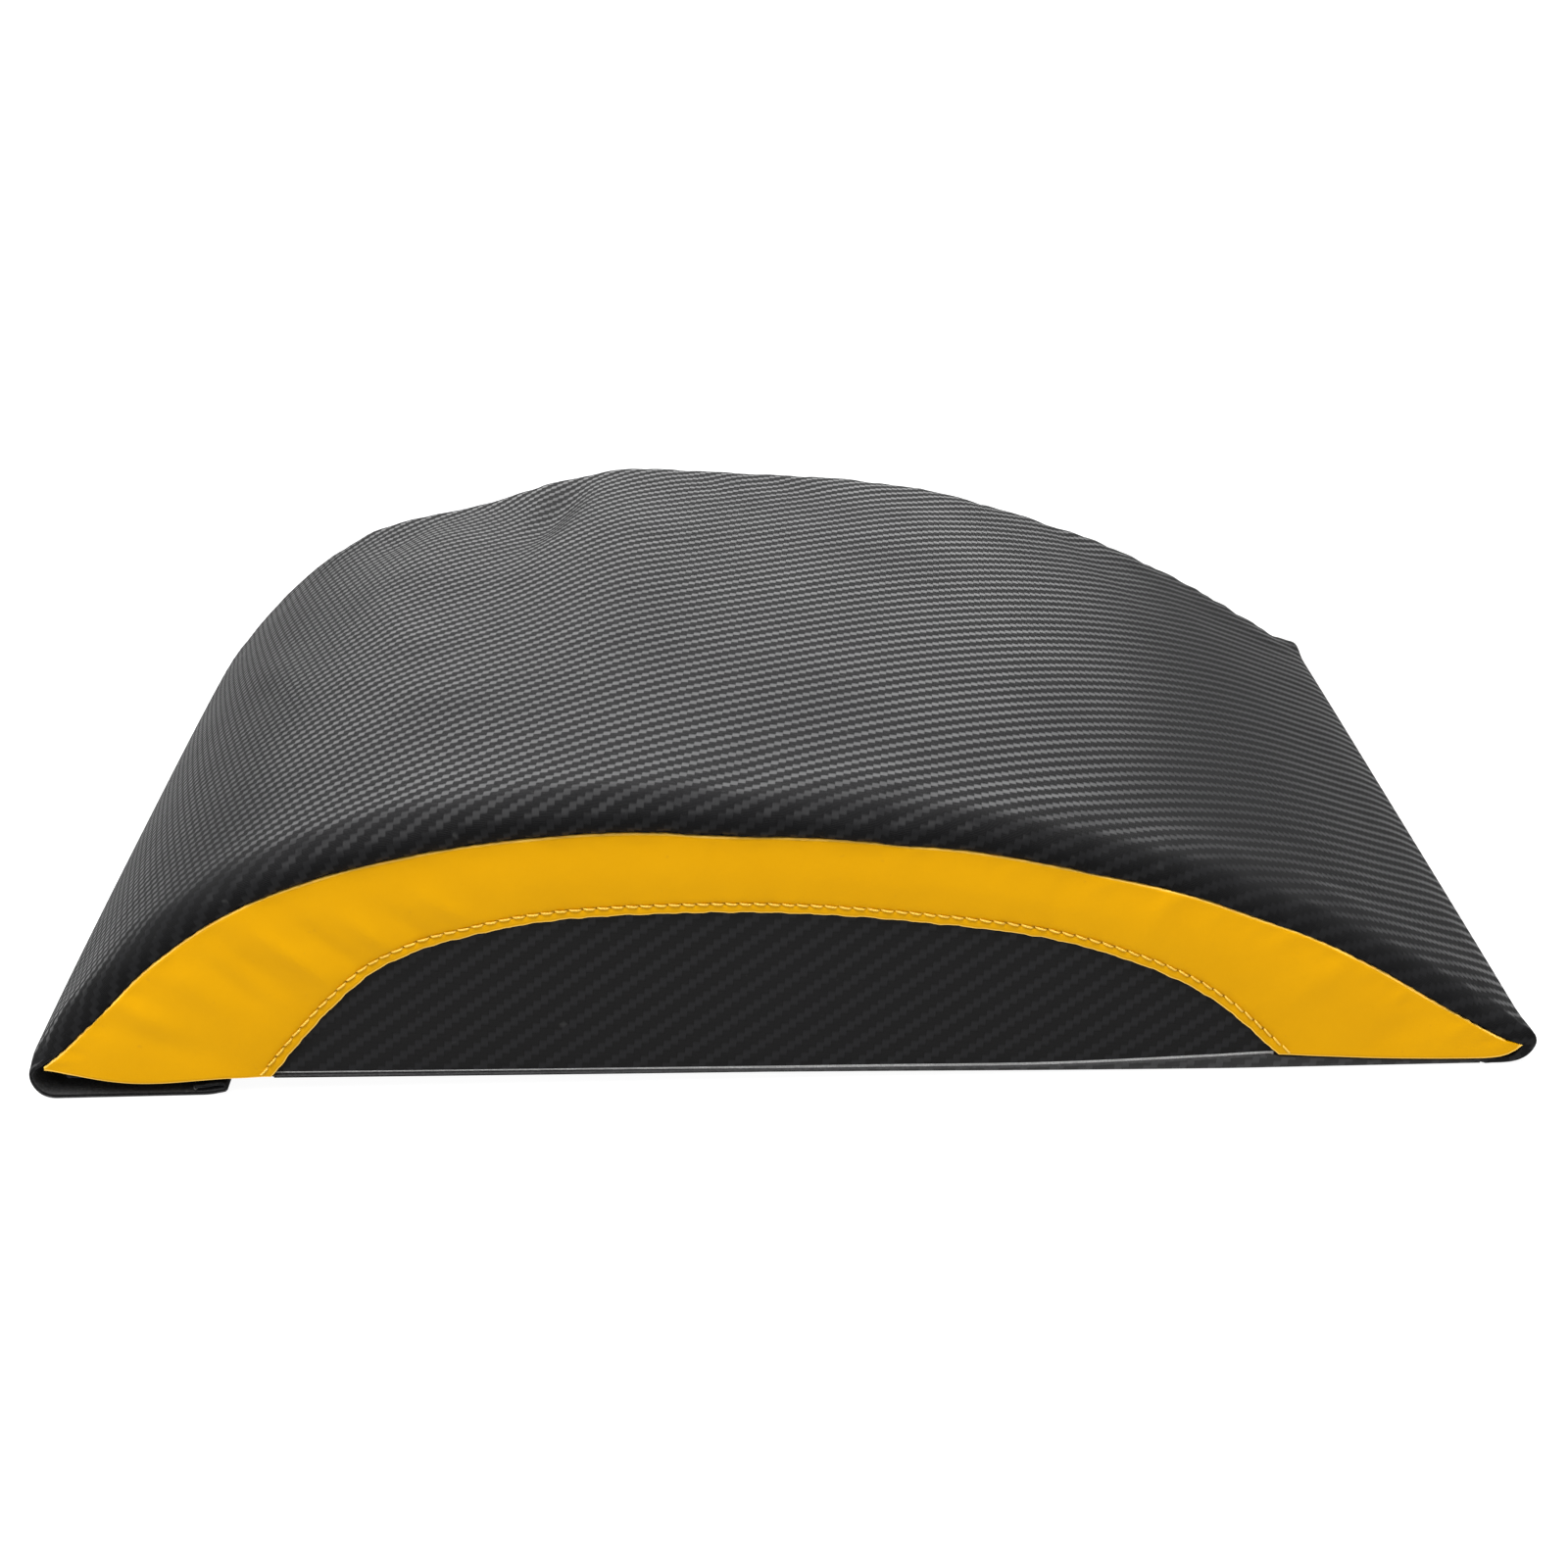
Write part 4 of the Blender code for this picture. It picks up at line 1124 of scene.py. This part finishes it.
class Tree:
    """A material's nodes, with short ways to add and link them."""

    def __init__(self, name):
        self.material = bpy.data.materials.new(name)
        self.material.use_nodes = True
        self.nodes = self.material.node_tree.nodes
        self.place = self.nodes.new("ShaderNodeTexCoord").outputs["Object"]

    def link(self, source, target):
        """Feeds a socket from another socket, a number or a colour."""
        if isinstance(source, (int, float)):
            target.default_value = source
        elif isinstance(source, tuple):
            target.default_value = (*source, 1.0)
        else:
            self.material.node_tree.links.new(source, target)

    def feed(self, node, values):
        for name, value in values.items():
            self.link(value, node.inputs[name.replace("_", " ")])

    def add(self, kind, output, settings=(), **values):
        """One output of a new node, with its settings and the values of its sockets."""
        node = self.nodes.new("ShaderNode" + kind)
        for name, value in settings:
            setattr(node, name, value)
        self.feed(node, values)
        return node.outputs[output]

    def math(self, operation, *values, clamp=False):
        node = self.nodes.new("ShaderNodeMath")
        node.operation = operation
        node.use_clamp = clamp
        for value, socket in zip(values, node.inputs):
            self.link(value, socket)
        return node.outputs[0]

    def plus(self, a, b):
        return self.math("ADD", a, b)

    def minus(self, a, b):
        return self.math("SUBTRACT", a, b)

    def times(self, a, b):
        return self.math("MULTIPLY", a, b)

    def mix(self, share, a, b):
        """A colour between a and b."""
        return self.add("Mix", "Result", [("data_type", "RGBA")], Factor=share, A=a, B=b)

    def blend(self, share, a, b):
        """A number between a and b."""
        return self.add("Mix", "Result", Factor=share, A=a, B=b)

    def noise(self, scale, detail, rough):
        return self.add("TexNoise", "Fac", Scale=scale, Detail=detail, Roughness=rough, Vector=self.place)

    def cells(self, scale):
        return self.add("TexVoronoi", "Distance", Scale=scale, Vector=self.place)

    def mark(self, name):
        return self.add("Attribute", "Fac", [("attribute_name", name)])

    def level(self, value, low, high, to_low=0.0, to_high=1.0):
        """The value, with low to high stretched to the range given."""
        ranges = {"From_Min": low, "From_Max": high, "To_Min": to_low, "To_Max": to_high}
        return self.add("MapRange", "Result", Value=value, **ranges)

    def tint(self, colour, other, value, low, high, most=1.0):
        """The colour, with up to the most of another one where the value rises from low to high."""
        return self.mix(self.level(value, low, high, 0.0, most), colour, other)

    def sheet(self):
        """The flat coordinates of the sheet, in metres: along it and across it."""
        vector = self.add("UVMap", "UV", [("uv_map", "Sheet")])
        split = self.nodes.new("ShaderNodeSeparateXYZ")
        self.link(vector, split.inputs[0])
        return split.outputs[0], split.outputs[1]

    def bump(self, height, depth, **below):
        """A surface's normal, raised by a height; Normal= is that of a broader relief below it."""
        return self.add("Bump", "Normal", Strength=1.0, Distance=depth, Height=height, **below)

    def finish(self, **values):
        """The material, with its shader's sockets fed."""
        self.feed(self.nodes["Principled BSDF"], values)
        return self.material


TWILL_ALONG = 0.00183  # width of a woven tow along the sheet
TWILL_ACROSS = 0.00160
TWILL_TURN = -4.5
FLOAT = 2.0  # tows that each float passes over
REPEAT = 4.0
RIBS = 4.0
GLOSS_AND_PAINTED_SHEEN_END = 0.50  # share of a smooth float's half length that is fully glossy and carries the full painted sheen
GRAIN_DEPTH = 0.00002
TWILLS = {  # dark floats and the smooth floats' paler colour, which carries their painted sheen, how rough each is, gloss, depth of the relief, share of ribs in it
    "twill_cover": ((0.0040, 0.0040, 0.0042), (0.0085, 0.0085, 0.009), (0.74, 0.35), 0.065, 0.00008, 0.45),
    "twill_side": ((0.0104, 0.0104, 0.0104), (0.0152, 0.0152, 0.0160), (0.74, 0.50), 0.050, 0.00007, 0.20),
    # The bottom sheet's copy is paler: painted reflection of the bright floor
    "twill_bottom_painted_reflection": ((0.021, 0.021, 0.021), (0.037, 0.037, 0.038), (0.60, 0.45), 0.16, 0.00008, 0.20),
}


def twill(tree):
    """The twill's two sets of floats: how glossy the smooth set is and how much painted sheen it gets, how
    high both stand, and the ribs.
    """
    plus, minus, times, math_of = tree.plus, tree.minus, tree.times, tree.math
    u, v = tree.sheet()
    cos, sin = math.cos(math.radians(TWILL_TURN)), math.sin(math.radians(TWILL_TURN))
    p = plus(times(u, cos / TWILL_ALONG), times(v, sin / TWILL_ALONG))
    q = minus(times(v, cos / TWILL_ACROSS), times(u, sin / TWILL_ACROSS))
    run = math_of("FLOORED_MODULO", minus(p, math_of("FLOOR", q)), REPEAT)
    weft = math_of("LESS_THAN", run, FLOAT)
    rise = minus(math_of("FLOORED_MODULO", minus(q, math_of("FLOOR", p)), REPEAT), 1.0)
    # Each float is crowned across itself and dips at its two ends
    along = math_of("ABSOLUTE", minus(tree.blend(weft, rise, run), 1.0))
    side = tree.blend(weft, math_of("FRACT", p), math_of("FRACT", q))
    over = math_of("MULTIPLY_ADD", side, 2.0, -1.0)
    flank = math_of("ABSOLUTE", over)
    fall = times(math_of("POWER", flank, 5.0), tree.blend(weft, 0.12, 0.40))
    dive = minus(1.0, math_of("POWER", along, 8.0))
    height = times(minus(1.0, fall), math_of("MULTIPLY_ADD", dive, 0.6, 0.4))
    ribs = times(times(math_of("SINE", times(over, RIBS * math.pi)), dive), weft)
    # The smooth floats are glossier and get a painted sheen along their crowns, which fades towards their
    # ends and flanks
    inner = tree.level(along, GLOSS_AND_PAINTED_SHEEN_END, 1.0, 1.0, 0.0)
    gloss_and_painted_sheen = times(minus(1.0, weft), times(inner, tree.level(flank, 0.7, 1.0, 1.0, 0.85)))
    return gloss_and_painted_sheen, height, ribs


def twill_material(name, dark, light, roughs, shine, depth, rib):
    """Coated sheet with a pressed twill look: dark ribbed floats one way and smooth ones the other, with
    painted sheen on the smooth floats and painted shade where the floats dip.
    """
    tree = Tree(name)
    gloss_and_painted_sheen, height, ribs = twill(tree)
    cloud = tree.noise(22.0, 4.0, 0.55)
    fine = tree.noise(900.0, 3.0, 0.6)
    # Painted sheen: the smooth floats are paler along their crowns
    colour = tree.mix(gloss_and_painted_sheen, dark, light)
    # Painted shade: darker where the floats dip, at their flanks and ends
    colour = tree.mix(tree.level(height, 0.3, 0.7, 0.5, 0.0), colour, (0.002, 0.002, 0.002))
    colour = tree.tint(colour, (0.014, 0.014, 0.015), cloud, 0.35, 0.75, 0.20)
    colour = tree.tint(colour, (0.16, 0.16, 0.155), tree.noise(260.0, 2.0, 0.5), 0.72, 0.80, 0.10)
    rough = tree.plus(tree.blend(gloss_and_painted_sheen, *roughs), tree.level(fine, 0.3, 0.7, -0.03, 0.04))
    rough = tree.plus(rough, tree.level(cloud, 0.3, 0.7, -0.03, 0.04))
    pressed = tree.bump(tree.plus(height, tree.times(ribs, rib)), depth)
    normal = tree.bump(fine, GRAIN_DEPTH, Normal=pressed)
    return tree.finish(Base_Color=colour, Roughness=rough, Normal=normal, Specular_IOR_Level=shine)


def yellow_material():
    """Yellow coated sheet: smooth and cloudy, with painted shade in its needle holes and a painted highlight
    along its bent edges.
    """
    tree = Tree("yellow_coated")
    cloud = tree.noise(34.0, 4.0, 0.6)
    colour = tree.mix(tree.level(cloud, 0.3, 0.7), (0.575, 0.278, 0.0006), (0.612, 0.301, 0.0010))
    colour = tree.tint(colour, (0.547, 0.261, 0.0005), tree.noise(9.0, 2.0, 0.5), 0.3, 0.7, 0.35)
    colour = tree.tint(colour, (0.45, 0.20, 0.01), tree.noise(520.0, 1.0, 0.5), 0.74, 0.80, 0.25)
    # Painted shade in the needle holes
    colour = tree.tint(colour, (0.13, 0.050, 0.004), tree.mark("pit"), 0.15, 0.75, 0.8)
    # Painted highlight along the band's bent edges
    colour = tree.tint(colour, (0.98, 0.62, 0.12), tree.mark("edge"), 0.2, 0.8, 0.85)
    grain = tree.plus(tree.times(tree.cells(1500.0), 0.6), tree.times(tree.noise(2600.0, 2.0, 0.6), 0.4))
    normal = tree.bump(cloud, 0.0006, Normal=tree.bump(grain, 0.00005))
    rough = tree.level(cloud, 0.3, 0.7, 0.44, 0.54)
    return tree.finish(Base_Color=colour, Roughness=rough, Normal=normal, Specular_IOR_Level=0.04)


def backing_material():
    """The knitted back of the coated sheet and its cut edges."""
    tree = Tree("knit_backing")
    knit = tree.cells(1100.0)
    cloud = tree.noise(60.0, 3.0, 0.5)
    colour = tree.mix(tree.level(knit, 0.1, 0.7), (0.030, 0.030, 0.031), (0.012, 0.012, 0.013))
    colour = tree.tint(colour, (0.05, 0.05, 0.05), cloud, 0.3, 0.7, 0.3)
    rough = tree.level(cloud, 0.3, 0.7, 0.85, 0.95)
    return tree.finish(Base_Color=colour, Roughness=rough, Normal=tree.bump(knit, 0.00020))


def fibre_and_painted_highlight_material(name, dark, light):
    """Pale fibres along a cut or folded edge of the coated sheet, brightened as a painted highlight."""
    tree = Tree(name)
    fibre = tree.noise(2400.0, 3.0, 0.7)
    cloud = tree.noise(160.0, 3.0, 0.6)
    colour = tree.mix(tree.level(fibre, 0.3, 0.7), dark, light)
    colour = tree.tint(colour, dark, cloud, 0.35, 0.70, 0.6)
    rough = tree.level(cloud, 0.3, 0.7, 0.80, 0.92)
    return tree.finish(Base_Color=colour, Roughness=rough, Normal=tree.bump(fibre, 0.00015))


def foam_material():
    tree = Tree("foam_cells")
    cells = tree.cells(900.0)
    colour = tree.mix(tree.level(cells, 0.1, 0.6), (0.020, 0.020, 0.021), (0.060, 0.060, 0.063))
    colour = tree.tint(colour, (0.040, 0.040, 0.042), tree.noise(40.0, 4.0, 0.6), 0.3, 0.7, 0.4)
    rough = tree.level(cells, 0.1, 0.6, 0.95, 0.85)
    return tree.finish(Base_Color=colour, Roughness=rough, Normal=tree.bump(cells, 0.0004))


def thread_material(name, colour, dark):
    """Twisted thread, with painted shade between its plies."""
    tree = Tree(name)
    u, v = tree.sheet()
    twist = tree.math("SINE", tree.plus(tree.times(u, 7000.0), tree.times(v, 12000.0)))
    fibre = tree.noise(4200.0, 3.0, 0.6)
    share = tree.math("MULTIPLY_ADD", twist, 0.16, tree.level(fibre, 0.3, 0.7, 0.0, 0.45), clamp=True)
    rough = tree.level(fibre, 0.3, 0.7, 0.50, 0.68)
    # Painted shade along the twist, between the plies
    colour = tree.mix(share, dark, colour)
    return tree.finish(Base_Color=colour, Roughness=rough, Normal=tree.bump(twist, 0.00003))


def tape_material(name, dark, light, rough, scale):
    """Woven nylon with a faint sheen."""
    tree = Tree(name)
    weave = tree.noise(scale, 3.0, 0.7)
    colour = tree.mix(tree.level(weave, 0.3, 0.7), dark, light)
    colour = tree.tint(colour, light, tree.noise(80.0, 3.0, 0.5), 0.35, 0.75, 0.35)
    rough = tree.level(weave, 0.3, 0.7, rough, rough + 0.12)
    normal = tree.bump(weave, 0.00025)
    return tree.finish(Base_Color=colour, Roughness=rough, Normal=normal, Sheen_Weight=0.15)


def floor_material():
    """A plain pale floor that glows a little, so that it comes out white."""
    tree = Tree("studio_floor")
    grain = tree.level(tree.noise(14.0, 3.0, 0.5), 0.3, 0.7)
    colour = tree.mix(grain, (0.13, 0.13, 0.13), (0.15, 0.15, 0.15))
    glow = {"Emission_Color": (1.0, 1.0, 1.0), "Emission_Strength": FLOOR_GLOW}
    return tree.finish(Base_Color=colour, Roughness=0.9, Specular_IOR_Level=0.1, **glow)


def dress(made, *materials):
    for material in materials:
        made.data.materials.append(material)


# Studio: its soft boxes' place, aim, width and height, and brightness
SOFT_BOXES = {
    "back_wall": ((-0.28, 3.3, 1.50), (0.0, 0.0, 0.05), (3.6, 2.2), 4.7),
    "upper_wall": ((-0.28, 2.1, 3.20), (0.0, 0.0, 0.05), (3.6, 1.6), 4.9),
    "front_wall": ((-0.4, -2.6, 1.65), (0.0, 0.0, 0.05), (3.4, 2.6), 0.52),
    "overhead": ((-0.5, -0.4, 2.30), (0.0, 0.0, 0.0), (2.8, 2.4), 7.6),
}
WORLD_LIGHT = 0.30
FLOOR_GLOW = 0.95
FLOOR_HALF = 7.0
FLOOR_GAP = 0.0002


def soft_box(name, place, aim, size, bright):
    data = bpy.data.lights.new(name, "AREA")
    data.shape = "RECTANGLE"
    data.size, data.size_y = size
    data.energy = bright * math.pi * size[0] * size[1]
    made = add_object(name, data)
    made.location = place
    made.rotation_mode = "QUATERNION"
    made.rotation_quaternion = (Vector(aim) - Vector(place)).to_track_quat("-Z", "Y")
    made.visible_camera = False


def studio():
    scene = bpy.context.scene
    scene.view_settings.view_transform = "Standard"
    scene.view_settings.look = "None"
    world = bpy.data.worlds.new("studio")
    scene.world = world
    world.use_nodes = True
    background = world.node_tree.nodes["Background"]
    background.inputs["Color"].default_value = (1.0, 1.0, 1.0, 1.0)
    background.inputs["Strength"].default_value = WORLD_LIGHT
    for name, box in SOFT_BOXES.items():
        soft_box(name, *box)
    corners = [(x * FLOOR_HALF, y * FLOOR_HALF, 0.0) for x, y in ((-1, -1), (1, -1), (1, 1), (-1, 1))]
    floor = mesh_object("floor", corners, [(0, 1, 2, 3)])
    floor.location = (0.0, 0.0, -FLOOR_GAP)
    dress(floor, floor_material())


def camera():
    yaw, pitch, turn = (math.radians(v) for v in (CAMERA_YAW, CAMERA_PITCH, CAMERA_ROLL))
    forward = Vector((math.sin(yaw) * math.cos(pitch), math.cos(yaw) * math.cos(pitch), -math.sin(pitch)))
    right = Vector((math.cos(yaw), -math.sin(yaw), 0.0))
    up = right.cross(forward)
    side = math.cos(turn) * right + math.sin(turn) * up
    top = -math.sin(turn) * right + math.cos(turn) * up
    data = bpy.data.cameras.new("camera")
    data.lens = CAMERA_LENS
    data.sensor_width = SENSOR
    made = add_object("camera", data)
    matrix = Matrix((side, top, -forward)).transposed().to_4x4()
    matrix.translation = Vector(CAMERA_PLACE)
    made.matrix_world = matrix
    bpy.context.scene.camera = made


# Build

studio()
camera()

cover, side_twill, bottom_twill_painted_reflection = (twill_material(name, *look) for name, look in TWILLS.items())
backing = backing_material()
# Cut edge of the hem: pale fibres with a painted highlight
cut_edge_painted_highlight = fibre_and_painted_highlight_material("cut_edge_painted_highlight", (0.10, 0.10, 0.10), (0.24, 0.24, 0.24))
# Folded edge along the panels' foot: painted highlight where the edge catches the light
fold = fibre_and_painted_highlight_material("folded_edge_painted_highlight", (0.26, 0.26, 0.26), (0.60, 0.60, 0.60))
yellow = yellow_material()
yellow_thread = thread_material("yellow_thread", (0.56, 0.30, 0.015), (0.80, 0.50, 0.05))
hook_look = tape_material("hook_nylon", (0.010, 0.010, 0.010), (0.030, 0.030, 0.030), 0.45, 1500.0)
loop_look = tape_material("loop_pile", (0.011, 0.010, 0.009), (0.050, 0.042, 0.036), 0.80, 1800.0)

top, top_flat = top_sheet()
dress(top, cover, backing, cut_edge_painted_highlight)
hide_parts("top_panel", "closure_flap")
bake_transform(top)

bottom = bottom_sheet()
dress(bottom, bottom_twill_painted_reflection, backing)
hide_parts("bottom_panel")
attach(bottom, "mat")

core = foam()
dress(core, foam_material())
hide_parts("foam_core")
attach(core, "mat")

for label, side in (("front", -1), ("rear", 1)):
    piece = panel(side, f"{label}_panel_sheet")
    dress(piece, side_twill, backing, fold)
    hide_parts(f"{label}_side_panel")
    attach(piece, "mat")
    shape = band_grid(side)
    strip = band(side, f"{label}_band", shape)
    dress(strip, yellow, yellow)
    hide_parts(f"{label}_side_band")
    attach(strip, "mat")
    thread = band_stitches(side, f"{label}_stitches", shape)
    dress(thread, yellow_thread)
    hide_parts(f"{label}_band_stitching")
    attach(thread, "mat")

hooks = hook_tape()
dress(hooks, hook_look, hook_look)
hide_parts("hook_tape")
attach(hooks, "flap")
loops = loop_tape()
dress(loops, loop_look, loop_look)
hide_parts("loop_tape")
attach(loops, "mat")
